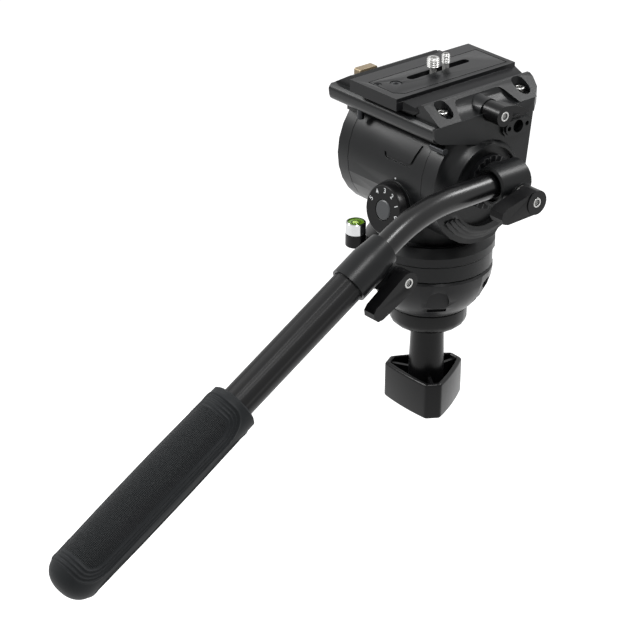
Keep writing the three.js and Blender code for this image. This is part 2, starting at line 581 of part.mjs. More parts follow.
function makeRightArm() {
  const lipTop = arm.rightFace + terraces.radii.length * terraces.step;
  const skirtShape = outlineOf([
    [curtain.rear, curtain.rearTop], [curtain.rear, curtain.rearLow, curtain.corner / 2],
    [curtain.lowStart, curtain.lowStartZ, curtain.corner], [curtain.lowEnd, curtain.lowEndZ, curtain.corner],
    [0, 0], [armFront.lowY, armFront.lowZ], [armFront.midY, armFront.midZ], [armFront.topY, armFront.topZ],
  ]);
  const platformRoom = solid(box(0, platform.halfWidth + gap, -platform.halfWidth * 2, platform.halfWidth * 2,
    arm.top, platform.railTop));
  const skirt = solid(pushed('x', skirtShape, arm.rightFace - overrun / 2, curtain.outside));
  const side = cut(join(skirt, makeAccessorySeat()), platformRoom);
  const far = platform.halfWidth * 2;
  const front = solid(pushed('x', outlineOf([
    [armFront.topY, far], [armFront.topY, armFront.topZ], [armFront.midY, armFront.midZ],
    [armFront.lowY, armFront.lowZ], [armFront.footY, armFront.footZ], [armFront.endY, armFront.endZ],
    [armFront.endY, -far], [far, -far], [far, far],
  ]), armFront.start, lipTop + overrun));
  const screwHoles = [slopeScrew.rearY, slopeScrew.frontY].map((y) => solid(
    rod(slopeScrew.shank + gap, slopeScrew.headTop - slopeScrew.headHeight - slopeScrew.length - gap,
      platform.railTop, 16).translate(slopeScrew.x, y, 0)));
  const leverRoom = solid(rod(lockLever.hubRadius + gap, platform.halfWidth, curtain.outside + overrun, 22, 'x')
    .translate(0, lockLever.y, lockLever.z));
  const ringWell = solid(rod(well.radius, well.floor, lipTop + overrun, 32, 'x').translate(0, well.y, well.z));
  const boltHole = solid(rod(clampBolt.radius + gap, axle.right, lipTop + overrun, 16, 'x'));
  const seatTop = curtain.outside + accessory.stand;
  const seatHoles = [[accessory.bore, accessory.boreDepth, 0, 16], [accessory.pin, accessory.pinDepth, -1, 8],
    [accessory.pin, accessory.pinDepth, 1, 8]].map(([radius, depth, side, sides]) => solid(
    rod(radius, seatTop - depth, seatTop + overrun, sides, 'x')
      .translate(0, accessory.y + side * accessory.pinAt, accessory.z)));
  return cut(join(discWithNeck(drum.right + gap, arm.rightFace), makeArmFace(lipTop), side),
    front, ringWell, axleHole, boltHole, leverRoom, ...seatHoles, ...screwHoles);
}

function makeRosette() {
  const floor = well.floor + gap;
  const ring = solid(tube(rosette.radius, rosette.inside, floor, rosette.face, 30, 'x'));
  const teeth = Array.from({ length: rosette.teeth }, (_, i) => {
    const turn = (i / rosette.teeth) * Math.PI * 2;
    const half = (Math.PI * rosette.radius) / rosette.teeth;
    const tooth = pushed('z', outlineOf([[rosette.face - rosette.toothDepth, 0], [rosette.face + gap, -half],
      [rosette.face + gap, half]]), rosette.inside - overrun / 2, rosette.radius + overrun);
    return solid(tooth.rotateX(turn));
  });
  return cut(ring, join(...teeth));
}

head.add(
  piece('left_arm', makeLeftArm(), finishes.painted()),
  piece('right_arm', makeRightArm(), finishes.painted()),
  piece('left_end_cap', solid(turned([[0, arm.leftFace - endCap.thickness - gap],
    [endCap.radius, arm.leftFace - endCap.thickness - gap], [endCap.radius, arm.leftFace - gap],
    [endCap.spigot - gap, arm.leftFace - gap], [endCap.spigot - gap, axle.left - gap], [0, axle.left - gap]],
  20, 'x')), finishes.anodised()),
  piece('arm_rosette', makeRosette(), finishes.anodised()),
);

// Platform: the cap over the arms, with the dovetail channel for the camera plate

const slopeAt = (x) => platform.railTop - ((x - platform.railTopOut) * (platform.railTop - platform.slopeFoot))
  / (platform.halfWidth - platform.railTopOut);
const slopeAngle = Math.atan2(platform.railTop - platform.slopeFoot, platform.halfWidth - platform.railTopOut);

function makePlatform() {
  const { halfWidth, rear, front, floor, under, lipRound } = platform;
  const side = outlineOf([
    [rear, floor - platform.lipDrop, platform.lipDrop], [rear + platform.lipDrop / 2, under, lipRound],
    [front - platform.frontRun, under, lipRound / 2], [front, floor - platform.frontDrop * 2, platform.frontDrop],
    [front, floor], [rear + platform.lipDrop, floor],
  ]);
  const slab = solid(pushed('x', side, -halfWidth, halfWidth));
  const railShape = (mirror, foot, drop) => outlineOf([
    [platform.railInner, platform.lipZ], [platform.railCrest, platform.railTop - drop / 2],
    [platform.railTopOut, platform.railTop - drop], [foot, platform.slopeFoot],
    [halfWidth, platform.slopeFoot - gap], [halfWidth, floor - platform.wedge],
    [platform.railInner, floor - platform.wedge],
  ].map(([x, z]) => [mirror * x, z]));
  const rightRail = solid(pushed('y', railShape(1, curtain.outside, 0), platform.railRear, front));
  const leftRail = solid(pushed('y', railShape(-1, halfWidth + gap, platform.leftRailDrop),
    platform.leftRailRear, platform.leftRailFront));
  const channel = solid(pushed('y', outlineOf([
    [-platform.floorHalf, floor], [platform.floorHalf, floor], [platform.grooveHalf, platform.grooveLow],
    [platform.grooveHalf, platform.grooveTop], [platform.railInner, platform.lipZ],
    [platform.railCrest, platform.railTop + overrun], [-platform.railCrest, platform.railTop + overrun],
    [-platform.railInner, platform.lipZ], [-platform.grooveHalf, platform.grooveTop],
    [-platform.grooveHalf, platform.grooveLow],
  ]), rear - overrun, front + overrun));
  const far = halfWidth + overrun;
  const noseCorner = solid(pushed('z', outlineOf([[platform.noseX, front], [platform.cornerX, platform.cornerY],
    [halfWidth, platform.sideY], [far, platform.sideY], [far, front + overrun], [platform.noseX, front + overrun],
  ]), under - overrun, platform.railTop + overrun));
  const housing = solid(rod(lockLever.housing, lockLever.housingStart, halfWidth, 24, 'x')
    .translate(0, lockLever.y, lockLever.z - lockLever.housingDrop));
  const drumRoom = solid(rod(drum.radius + platform.drumGap, -far, far, discSides, 'x'));
  const shaftHole = solid(rod(lockLever.shaftRadius + gap, lockLever.shaftStart - gap, far, 16, 'x')
    .translate(0, lockLever.y, lockLever.z));
  const railed = cut(join(slab, rightRail, leftRail), channel, noseCorner, makeLockPocket(), ...screwBores());
  return cut(join(railed, housing), drumRoom, makeCatchSeat(), shaftHole);
}

// The hollow round the lock lever: a cylinder along Y that sags under the slope, inside a tapered outline.
function makeLockPocket() {
  const { topHalf, footHalf, topX, footX, sag, corner, cover } = lockPocket;
  const top = new THREE.Vector2(topX, slopeAt(topX));
  const foot = new THREE.Vector2(footX, slopeAt(footX));
  const half = top.distanceTo(foot) / 2;
  const radius = (half ** 2 + sag ** 2) / (2 * sag);
  const outward = new THREE.Vector2(Math.sin(slopeAngle), Math.cos(slopeAngle));
  const centre = top.clone().add(foot).multiplyScalar(1 / 2).addScaledVector(outward, radius - sag);
  const hollow = rod(radius, -footHalf - overrun, footHalf + overrun, 44, 'y').translate(centre.x, 0, centre.y);
  const run = half * 2 + overrun;
  const outline = pushed('z', outlineOf([[0, -topHalf, corner], [run, -footHalf], [run, footHalf],
    [0, topHalf, corner]]), -sag - overrun, cover).rotateY(slopeAngle).translate(top.x, 0, top.y);
  return solid(hollow).intersect(solid(outline));
}

// The counterbores and the through holes for the two screws in the slope.
function screwBores() {
  const { x, rearY, frontY, headTop, headHeight, boreRadius, boreRun, shank } = slopeScrew;
  return [rearY, frontY].flatMap((y) => {
    const mouth = outlineOf([...arc(x, y, boreRadius, 90, 270, 6),
      ...arc(x + boreRun, y, boreRadius, -90, 90, 6)]);
    return [solid(pushed('z', mouth, headTop - headHeight - gap, platform.railTop + overrun)),
      solid(rod(shank + gap, 0, platform.railTop, 16).translate(x, y, 0))];
  });
}

function makeCatchSeat() {
  const { x, rear, front, width, top, depth, travel } = catchButton;
  return solid(box(x - width / 2 - gap, x + width / 2 + gap, rear - gap, front + gap, top - depth - travel - gap,
    platform.railTop + overrun));
}

head.add(piece('platform', makePlatform(), finishes.painted()));

// Screws, pegs and the catch button on the platform

function platformScrew(y) {
  const screwSolid = capScrew(slopeScrew.headRadius, slopeScrew.headHeight, slopeScrew.shank, slopeScrew.length,
    slopeScrew.socket, slopeScrew.socketDepth);
  return screwSolid.translate(slopeScrew.x, y, slopeScrew.headTop);
}

function makeCatchButton() {
  const { x, rear, front, width, top, depth, bevel } = catchButton;
  const blank = solid(box(x - width / 2, x + width / 2, rear, front, top - depth, top));
  const sideShape = outlineOf([[rear, top - depth], [front, top - depth], [front, top - bevel, bevel],
    [front - bevel, top, bevel], [rear + bevel, top, bevel], [rear, top - bevel, bevel]]);
  return blank.intersect(solid(pushed('x', sideShape, x - width, x + width)));
}

const leftPegTop = platform.under - gap;
head.add(
  piece('platform_screw_rear', platformScrew(slopeScrew.rearY), finishes.steel()),
  piece('platform_screw_front', platformScrew(slopeScrew.frontY), finishes.steel()),
  piece('catch_button', makeCatchButton(), finishes.amber()),
  piece('stop_peg_left', solid(rod(peg.radius, peg.leftLow, leftPegTop, 16).translate(peg.leftX, peg.leftY, 0)),
    finishes.blackened()),
  piece('stop_peg_right', solid(rod(peg.radius, peg.rightStart + gap, peg.rightEnd, 16, 'x')
    .translate(0, peg.rightY, peg.rightZ)), finishes.blackened()),
);

// Plate lock lever: a hub across the side of the platform and a short hooked blade

function makePlateLock() {
  const { hubRadius, hubEnd, shaftRadius, shaftStart, bladeStart } = lockLever;
  const hubStart = platform.halfWidth + gap;
  const hubSolid = solid(rod(hubRadius, hubStart, hubEnd, 22, 'x'));
  const shaft = solid(rod(shaftRadius, shaftStart, hubStart + overrun, 16, 'x'));
  const blade = solid(pushed('x', outlineOf(lockBlade), bladeStart, hubEnd, 4));
  const seat = solid(rod(leverScrew.radius + gap, hubEnd - leverScrew.recess, hubEnd + overrun, 12, 'x'));
  return cut(join(hubSolid, shaft, blade), seat);
}
const plateLockGroup = new THREE.Group();
plateLockGroup.position.set(0, lockLever.y, lockLever.z);
plateLockGroup.add(
  piece('plate_lock_lever', makePlateLock(), finishes.moulded()),
  screwAlongX('plate_lock_screw', lockLever.hubEnd),
);
head.add(plateLockGroup);

// Camera plate with its slot, its engraved border and its screws

function makePlate() {
  const { halfWidth, rear, front, top, sideDrop, wingHalf, wingZ, channelHalf, channelTop } = plate;
  const section = outlineOf([
    [-plate.footHalf, plate.footZ], [plate.footHalf, plate.footZ], [plate.catchHalf, plate.catchLow],
    [plate.catchHalf, plate.catchTop], [wingHalf, wingZ], [halfWidth, top - sideDrop], [halfWidth, top],
    [-halfWidth, top], [-halfWidth, top - sideDrop], [-wingHalf, wingZ], [-plate.catchHalf, plate.catchTop],
    [-plate.catchHalf, plate.catchLow],
  ]);
  const blank = solid(pushed('y', section, rear, front));
  const rearCut = [1, -1].map((side) => solid(pushed('z', outlineOf([
    [side * halfWidth, rear - overrun], [side * (wingHalf + overrun * 2), rear - overrun],
    [side * (wingHalf + overrun * 2), plate.wingRear + plate.cornerCut], [side * wingHalf, plate.wingRear + overrun],
    [side * (halfWidth + gap), plate.wingRear],
  ]), plate.footZ - overrun, top + overrun)));
  const slot = stadium(plate.slotWidth / 2, plate.slotRear, plate.slotFront);
  const slotCut = solid(pushed('z', slot, channelTop - overrun, top + overrun, 10));
  const under = solid(box(-channelHalf, channelHalf, plate.channelRear, plate.channelFront,
    plate.footZ - overrun, channelTop));
  const nose = solid(box(-plate.catchHalf - overrun, plate.catchHalf + overrun, rear - overrun, plate.footRear,
    plate.footZ - overrun, plate.noseFloor));
  return cut(blank, ...rearCut, nose, slotCut, under, makePlateLines(), ...plateScrewSeats());
}

// A slot outline along Y with round ends.
function stadium(radius, low, high) {
  return outlineOf([...arc(0, low + radius, radius, 180, 360, 8), ...arc(0, high - radius, radius, 0, 180, 8)]);
}

// The thin engraved border with cut corners.
function makePlateLines() {
  const inset = plate.lineInset;
  const border = (grow) => {
    const right = plate.halfWidth - inset + grow;
    const left = plate.lineLeft - grow;
    const low = plate.rear + inset * 1.5 - grow;
    const high = plate.front - inset + grow;
    const corner = plate.linePlateCut;
    return pushed('z', outlineOf([[left, low], [right - corner, low], [right, low + corner], [right, high],
      [left, high]]), plate.top - plate.lineDepth, plate.top + overrun);
  };
  return cut(solid(border(0)), solid(border(-plate.lineWidth)));
}

function plateScrewSeats() {
  return [[plateScrew.bigX, plateScrew.bigY, plateScrew.bigRadius],
    [plateScrew.smallX, plateScrew.smallY, plateScrew.smallRadius]]
    .map(([x, y, radius]) => solid(rod(radius, plate.top - plateScrew.depth, plate.top + overrun, 20)
      .translate(x, y, 0)));
}

function makePlateScrew(x, y, radius) {
  const low = plate.top - plateScrew.depth + gap;
  const headTop = low + plateScrew.head;
  const body = solid(rod(radius - gap, low, headTop, 20).translate(x, y, 0));
  const socket = solid(rod(radius * plateScrew.socketShare, headTop - plateScrew.head / 2, headTop + overrun, 6)
    .translate(x, y, 0));
  return cut(body, socket);
}

function makeCameraScrew(radius, headRadius, y) {
  const { headLow, headTop, neck, neckTop, pitch, ridge, tip } = cameraScrew;
  const threadLow = plate.top + neckTop;
  const threadTop = plate.top + cameraScrew.stand;
  const turns = Math.floor((threadTop - threadLow - tip) / pitch);
  const ridges = Array.from({ length: turns }, (_, i) => [
    [radius - ridge, threadLow + i * pitch], [radius, threadLow + (i + 1 / 2) * pitch],
  ]).flat();
  const outline = [[0, headLow], [headRadius, headLow], [headRadius, headTop], [neck, headTop], [neck, threadLow],
    ...ridges, [radius - ridge, threadLow + turns * pitch], [radius - tip, threadTop], [0, threadTop]];
  const body = solid(turned(outline, 10).translate(0, y, 0));
  const socket = rod(radius * cameraScrew.socketShare, threadTop - cameraScrew.socketDepth, threadTop + overrun, 6);
  return cut(body, solid(socket.translate(0, y, 0)));
}

head.add(
  piece('camera_plate', makePlate(), finishes.anodised()),
  piece('plate_stop_screw', makePlateScrew(plateScrew.bigX, plateScrew.bigY, plateScrew.bigRadius),
    finishes.blackened()),
  piece('plate_index_screw', makePlateScrew(plateScrew.smallX, plateScrew.smallY, plateScrew.smallRadius),
    finishes.blackened()),
  piece('camera_screw_large', makeCameraScrew(cameraScrew.bigRadius, cameraScrew.bigHead, cameraScrew.bigY),
    finishes.steel()),
  piece('camera_screw_small', makeCameraScrew(cameraScrew.smallRadius, cameraScrew.smallHead, cameraScrew.smallY),
    finishes.steel()),
);

// Bar mount: the barrel that holds the pan bar, its rosette side, and the clamp lever on the tilt axis

const barSlope = THREE.MathUtils.degToRad(bar.slope);
const barDirection = new THREE.Vector3(0, -Math.cos(barSlope), -Math.sin(barSlope));

function makeBarMount() {
  const { x, z, radius, rear, front, bevel, bossRadius, bossEnd, bossDrop } = barMount;
  const barrel = solid(turned([[0, rear], [radius - bevel, rear], [radius, rear + bevel], [radius, front - bevel],
    [radius - bevel, front], [0, front]], 24, 'y').translate(x, 0, z));
  const boss = solid(rod(bossRadius, barMount.flangeStart, bossEnd, 20, 'x').translate(0, 0, bossDrop));
  const flange = solid(rod(rosette.flange, rosette.face + gap, barMount.flangeEnd, 24, 'x'));
  const socket = solid(rod(bar.radius + gap, rear - overrun, barMount.socketEnd, 20, 'y').translate(x, 0, z));
  const boltHole = solid(rod(clampBolt.radius + gap, rosette.face - overrun, bossEnd + overrun, 16, 'x'));
  const mouth = solid(rod(barMount.mouthRadius, rear - overrun, rear + barMount.mouthDepth, 20, 'y')
    .translate(x, 0, z));
  return cut(join(barrel, boss, flange), socket, mouth, boltHole);
}

const clampStart = barMount.bossEnd + washer.thickness + 2 * gap;
const clampEnd = clampStart + clampLever.length;

function makeClampLever() {
  const { hubRadius, tipRadius, reach, angle, thickness } = clampLever;
  const hubSolid = solid(rod(hubRadius, clampStart, clampEnd, 22, 'x'));
  const middle = (clampStart + clampEnd) / 2;
  const paddle = solid(pushed('x', leverOutline(hubRadius, tipRadius, reach, angle), middle - thickness / 2,
    middle + thickness / 2));
  const bore = solid(rod(clampBolt.radius + gap, clampStart - overrun, clampBolt.end + gap, 16, 'x'));
  const seat = solid(rod(leverScrew.radius + gap, clampEnd - leverScrew.recess, clampEnd + overrun, 12, 'x'));
  return cut(join(hubSolid, paddle), bore, seat);
}

const barGroup = new THREE.Group();
barGroup.add(
  piece('bar_mount', makeBarMount(), finishes.painted()),
  piece('clamp_bolt', solid(rod(clampBolt.radius, clampBolt.start, clampBolt.end, 16, 'x')), finishes.steel()),
  piece('clamp_washer', solid(tube(washer.radius, clampBolt.radius + gap, barMount.bossEnd + gap,
    barMount.bossEnd + gap + washer.thickness, 22, 'x')), finishes.steel()),
  piece('bar_clamp_lever', makeClampLever(), finishes.moulded()),
  screwAlongX('bar_clamp_screw', clampEnd),
);
head.add(barGroup);

// Upper tube: straight out of the barrel, one bend, then straight down towards the operator

function makeBarTube() {
  const half = bar.bendRadius * Math.tan(barSlope / 2);
  const bendStart = bar.bendY + half;
  const route = new THREE.CurvePath();
  const corner = new THREE.Vector3(barMount.x, bar.bendY, barMount.z);
  const from = new THREE.Vector3(barMount.x, bar.startY, barMount.z);
  const level1 = new THREE.Vector3(barMount.x, bendStart, barMount.z);
  const lower1 = corner.clone().addScaledVector(barDirection, half);
  const lower2 = corner.clone().addScaledVector(barDirection, bar.inside);
  route.add(new THREE.LineCurve3(from, level1));
  route.add(new BendCurve(barMount.x, bendStart, barMount.z - bar.bendRadius));
  route.add(new THREE.LineCurve3(lower1, lower2));
  const round = new THREE.Shape();
  round.absarc(0, 0, bar.radius, 0, Math.PI * 2);
  return solid(new THREE.ExtrudeGeometry(round, {
    steps: 12, extrudePath: route, curveSegments: bar.sides / 2, bevelEnabled: false,
  }));
}

// The bend is an arc in the plane of the bar, from level down to the bar's slope.
class BendCurve extends THREE.Curve {
  constructor(x, y, z) {
    super();
    this.centre = new THREE.Vector3(x, y, z);
  }

  getPoint(t, target = new THREE.Vector3()) {
    const angle = t * barSlope;
    return target.copy(this.centre).add(new THREE.Vector3(0, -Math.sin(angle), Math.cos(angle))
      .multiplyScalar(bar.bendRadius));
  }
}

barGroup.add(piece('bar_tube', makeBarTube(), finishes.gloss()));

// Telescope: collar, outer tube and grip, made along Z in a group that points down the bar

const scopeGroup = new THREE.Group();
scopeGroup.position.set(barMount.x, bar.bendY, barMount.z);
scopeGroup.quaternion.setFromUnitVectors(axes.z, barDirection);

function makeCollar() {
  const { start, length, radius, neckRadius, taper } = collar;
  const end = start + length;
  const sleeve = solid(turned([[0, start], [neckRadius, start], [radius - collar.edge, start + taper],
    [radius, start + taper + collar.taper / 2], [radius, end], [0, end]], 24));
  const ear = solid(pushed('x', outlineOf([
    [0, start + collar.earAt - collar.earLength],
    [0, end - overrun], [-collar.earHeight - collar.earRound, start + collar.earAt + collar.earRound, collar.earRound],
    [-collar.earHeight - collar.earRound, start + collar.earAt - collar.earRound, collar.earRound],
  ]), -collar.earHalf, collar.earHalf));
  const bore = solid(rod(outerTube.radius + gap, end - collar.tubeLap, end + overrun, 24));
  const neckBore = solid(rod(bar.radius + gap, start - overrun, end, 20));
  const slit = solid(box(-collar.slit / 2, collar.slit / 2, -collar.earHeight - collar.earRound - overrun,
    -bar.radius, start - overrun, end + overrun));
  const boltHole = solid(rod(collarLever.boltRadius + gap, -collar.earHalf - overrun, collar.earHalf + overrun, 16,
    'x').translate(0, -collar.earHeight, start + collar.earAt));
  const slantAngle = Math.atan2(collar.slant, 2 * radius);
  const slantCut = solid(box(-radius * 2, radius * 2, -radius * 4, radius * 4, -radius * 4, 0)
    .rotateX(-slantAngle).translate(0, 0, start + collar.slant / 2));
  return cut(join(sleeve, ear), bore, neckBore, slit, boltHole, slantCut);
}

function makeOuterTube() {
  const low = collar.start + collar.length - collar.tubeLap + gap;
  const flutes = Array.from({ length: outerTube.fluteCount }, (_, i) => {
    const groove = box(outerTube.radius - outerTube.fluteDepth, outerTube.radius + overrun,
      -outerTube.fluteWidth / 2, outerTube.fluteWidth / 2, collar.start + collar.length + gap, grip.start - gap);
    return solid(groove.rotateZ((i / outerTube.fluteCount) * Math.PI * 2));
  });
  return cut(solid(tube(outerTube.radius, outerTube.bore, low, outerTube.end, 24)), ...flutes);
}

function makeGrip() {
  const { start, end, endRadius, midRadius, cuffRadius, cuff, capRound } = grip;
  const middle = (start + end) / 2;
  const capPoints = arc(0, 0, 1, 0, 90, 5).map(([c, s]) => [
    endRadius - capRound + capRound * c, end - capRound + capRound * s]);
  const outline = [[0, start], [cuffRadius, start], [endRadius - grip.edge, start + cuff / 2], [endRadius, start + cuff],
    ...[1, 2, 3].map((i) => {
      const along1 = start + cuff + ((end - capRound - start - cuff) * i) / 4;
      return [endRadius + (midRadius - endRadius) * Math.sin((i / 4) * Math.PI), along1];
    }), ...capPoints, [0, end]];
  const bore = solid(rod(outerTube.radius + gap, start - overrun, outerTube.end + gap, 20));
  return cut(solid(turned(outline, 22)), bore);
}

function makeCollarLever() {
  const { hubRadius, hubLength, reach, tipRadius, thickness, boltRadius } = collarLever;
  const start = collar.earHalf + gap;
  const hubSolid = solid(rod(hubRadius, start, start + hubLength, 18, 'x'));
  const paddle = solid(pushed('x', leverOutline(hubRadius, tipRadius, reach, 90),
    start + hubLength - thickness, start + hubLength));
  const bore = solid(rod(boltRadius + gap, start - overrun, start + hubLength / 2, 16, 'x'));
  const seat = solid(rod(leverScrew.radius + gap, start + hubLength - leverScrew.recess,
    start + hubLength + overrun, 12, 'x'));
  return cut(join(hubSolid, paddle), bore, seat);
}

const collarLeverGroup = new THREE.Group();
collarLeverGroup.position.set(0, -collar.earHeight, collar.start + collar.earAt);
const collarLeverStart = collar.earHalf + gap;
collarLeverGroup.add(
  piece('collar_lever', makeCollarLever(), finishes.moulded()),
  screwAlongX('collar_lever_screw', collarLeverStart + collarLever.hubLength),
);
scopeGroup.add(
  piece('telescope_collar', makeCollar(), finishes.painted()),
  piece('outer_tube', makeOuterTube(), finishes.gloss()),
  piece('hand_grip', makeGrip(), finishes.rubber()),
  piece('collar_bolt', solid(rod(collarLever.boltRadius, -collar.earHalf,
    collarLeverStart + collarLever.hubLength / 2 - gap, 16, 'x')
    .translate(0, -collar.earHeight, collar.start + collar.earAt)), finishes.steel()),
  collarLeverGroup,
);
barGroup.add(scopeGroup);

export default model;
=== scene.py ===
import json
import math

import bmesh
import bpy
import numpy as np
from mathutils import Matrix, Vector


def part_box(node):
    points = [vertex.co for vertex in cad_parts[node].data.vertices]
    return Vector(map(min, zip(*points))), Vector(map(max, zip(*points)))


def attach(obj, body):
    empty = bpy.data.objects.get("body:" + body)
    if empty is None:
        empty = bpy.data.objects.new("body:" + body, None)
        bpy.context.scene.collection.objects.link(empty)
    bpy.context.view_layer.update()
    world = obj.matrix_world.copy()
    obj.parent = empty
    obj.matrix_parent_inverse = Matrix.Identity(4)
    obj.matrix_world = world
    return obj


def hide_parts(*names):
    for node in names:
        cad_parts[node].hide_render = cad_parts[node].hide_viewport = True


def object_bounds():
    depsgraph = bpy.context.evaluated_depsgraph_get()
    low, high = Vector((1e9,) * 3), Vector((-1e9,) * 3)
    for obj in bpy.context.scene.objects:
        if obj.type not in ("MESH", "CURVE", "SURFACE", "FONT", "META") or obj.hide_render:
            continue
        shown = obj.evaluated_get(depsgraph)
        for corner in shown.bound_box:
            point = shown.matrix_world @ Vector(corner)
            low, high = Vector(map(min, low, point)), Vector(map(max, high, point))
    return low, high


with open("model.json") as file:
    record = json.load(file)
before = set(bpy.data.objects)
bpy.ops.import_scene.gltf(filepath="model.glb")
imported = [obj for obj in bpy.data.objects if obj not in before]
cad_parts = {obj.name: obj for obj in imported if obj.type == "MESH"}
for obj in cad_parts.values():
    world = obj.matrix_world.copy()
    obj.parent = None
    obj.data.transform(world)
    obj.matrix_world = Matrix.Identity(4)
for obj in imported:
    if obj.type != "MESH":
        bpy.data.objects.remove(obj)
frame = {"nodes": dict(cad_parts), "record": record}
cadLow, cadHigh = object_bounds()
nodes = frame["nodes"]
slotOfNode = {part["node"]: part["material_slot"] for part in frame["record"]["subparts"]}
bodyOfNode = {name: body for body, members in frame["record"]["behaviour"]["bodies"].items()
              for name in members}
mm = 0.001  # metres
print("frame loaded,", len(nodes), "nodes")


# Materials. A look's mottle, grain, depth, hatch and hatchDepth are in millimetres

def linearColour(text):  # sRGB hex to linear red, green, blue and alpha
    shares = [int(text[i:i + 2], 16) / 255 for i in (1, 3, 5)]
    return (*[c / 12.92 if c <= 0.04045 else ((c + 0.055) / 1.055) ** 2.4 for c in shares], 1)


def addNode(tree, kind, inputs=None, **settings):  # inputs are values, or sockets to link from
    node = tree.nodes.new("ShaderNode" + kind)
    for name, value in settings.items():
        setattr(node, name, value)
    for name, value in (inputs or {}).items():
        if isinstance(value, bpy.types.NodeSocket):
            tree.links.new(value, node.inputs[name])
        else:
            node.inputs[name].default_value = value
    return node


def newMaterial(name):
    material = bpy.data.materials.new(name)
    material.use_nodes = True
    return material, material.node_tree, material.node_tree.nodes["Principled BSDF"]


def grainedFinish(name, look):
    # two near colours mottled together, roughness that drifts, and a fine grain as bump
    material, tree, shader = newMaterial(name)
    place = addNode(tree, "TexCoord").outputs["Object"]
    mottle = addNode(tree, "TexNoise", {"Vector": place, "Scale": 1 / (look["mottle"] * mm), "Detail": 3})
    colour = addNode(tree, "MixRGB", {"Fac": mottle.outputs["Fac"], "Color1": linearColour(look["dark"]),
                                      "Color2": linearColour(look["light"])})
    tree.links.new(colour.outputs["Color"], shader.inputs["Base Color"])
    sheen = addNode(tree, "MapRange", {"Value": mottle.outputs["Fac"],
                                       "To Min": look["rough"] - look["drift"],
                                       "To Max": look["rough"] + look["drift"]})
    tree.links.new(sheen.outputs["Result"], shader.inputs["Roughness"])
    grain = addNode(tree, "TexNoise", {"Vector": place, "Scale": 1 / (look["grain"] * mm),
                                       "Detail": look.get("detail", 4)})
    bump = addNode(tree, "Bump", {"Height": grain.outputs["Fac"], "Strength": look["bump"],
                                  "Distance": look["depth"] * mm})
    tree.links.new(bump.outputs["Normal"], shader.inputs["Normal"])
    shader.inputs["Metallic"].default_value = look.get("metallic", 0)
    shader.inputs["Specular IOR Level"].default_value = look.get("specular", 0.5)
    return material


def hatchedFinish(name, look):
    # a grained finish with crossed fine ribs inside the panels. The ribs' height is the product of two
    # sine waves, along the sum and the difference of the panel's two lengths
    material = grainedFinish(name, look)
    tree = material.node_tree
    normal = tree.nodes["Principled BSDF"].inputs["Normal"]
    panel = addNode(tree, "Attribute", attribute_name="panel")
    lengths = addNode(tree, "SeparateXYZ", {"Vector": panel.outputs["Vector"]})
    waves = []
    for operation in ("ADD", "SUBTRACT"):
        mixed = addNode(tree, "Math", {0: lengths.outputs["X"], 1: lengths.outputs["Y"]}, operation=operation)
        scaled = addNode(tree, "Math", {0: mixed.outputs[0], 1: 2 * math.pi / look["hatch"]},
                         operation="MULTIPLY")
        waves.append(addNode(tree, "Math", {0: scaled.outputs[0]}, operation="SINE"))
    crossed = addNode(tree, "Math", {0: waves[0].outputs[0], 1: waves[1].outputs[0]}, operation="MULTIPLY")
    ribs = addNode(tree, "Math", {0: crossed.outputs[0], 1: lengths.outputs["Z"]}, operation="MULTIPLY")
    bump = addNode(tree, "Bump", {"Height": ribs.outputs[0], "Strength": 1,
                                  "Distance": look["hatchDepth"] * mm, "Normal": normal.links[0].from_socket})
    tree.links.new(bump.outputs["Normal"], normal)
    return material


# satin powder coat on cast aluminium: dark, a soft highlight, a faint orange peel
powderCoat = grainedFinish("powderCoatedAluminium", {
    "dark": "#161718", "light": "#1b1c1d", "mottle": 14, "grain": 0.7, "rough": 0.35, "drift": 0.03,
    "bump": 0.22, "depth": 0.04, "specular": 0.22})
# black anodised machined aluminium: darker, tighter highlight, a blasted grain
anodised = grainedFinish("blackAnodisedAluminium", {
    "dark": "#151617", "light": "#19191b", "mottle": 9, "grain": 0.5, "rough": 0.33, "drift": 0.03,
    "bump": 0.18, "depth": 0.03, "specular": 0.2})
# gloss enamel on the drawn bar: black with a sharp highlight
glossEnamel = grainedFinish("glossEnamelTube", {
    "dark": "#0a0a0b", "light": "#0d0d0e", "mottle": 30, "grain": 5, "rough": 0.28, "drift": 0.02,
    "bump": 0.03, "depth": 0.03, "specular": 0.4})
# satin enamel on the fluted outer tube: black with a broad, weak highlight
satinEnamel = grainedFinish("satinEnamelTube", {
    "dark": "#0a0a0b", "light": "#0d0d0e", "mottle": 30, "grain": 0.8, "rough": 0.44, "drift": 0.02,
    "bump": 0.06, "depth": 0.03, "specular": 0.24})
# moulded nylon of the levers, the knob, the dial and the cups: satin, with a spark-eroded mould grain
mouldedNylon = grainedFinish("mouldedNylon", {
    "dark": "#0d0d0e", "light": "#111112", "mottle": 8, "grain": 0.6, "rough": 0.3, "drift": 0.04,
    "bump": 0.2, "depth": 0.04, "specular": 0.18})
# moulded rubber of the grip: nearly matt, blue-grey. Its real ribs are near 1 mm apart; the hatching is
# coarser so that it shows
gripRubber = hatchedFinish("gripRubber", {
    "dark": "#17191b", "light": "#1b1e20", "mottle": 12, "grain": 0.8, "detail": 3, "rough": 0.61,
    "drift": 0.05, "bump": 0.2, "depth": 0.05, "specular": 0.22, "hatch": 2.3, "hatchDepth": 0.45})
# turned stainless steel of the screws, the shafts and the washer: bright, with a tight highlight
turnedSteel = grainedFinish("turnedStainlessSteel", {
    "dark": "#a9a9a7", "light": "#bdbdbb", "mottle": 3, "grain": 0.4, "rough": 0.26, "drift": 0.05,
    "bump": 0.15, "depth": 0.02, "metallic": 1})
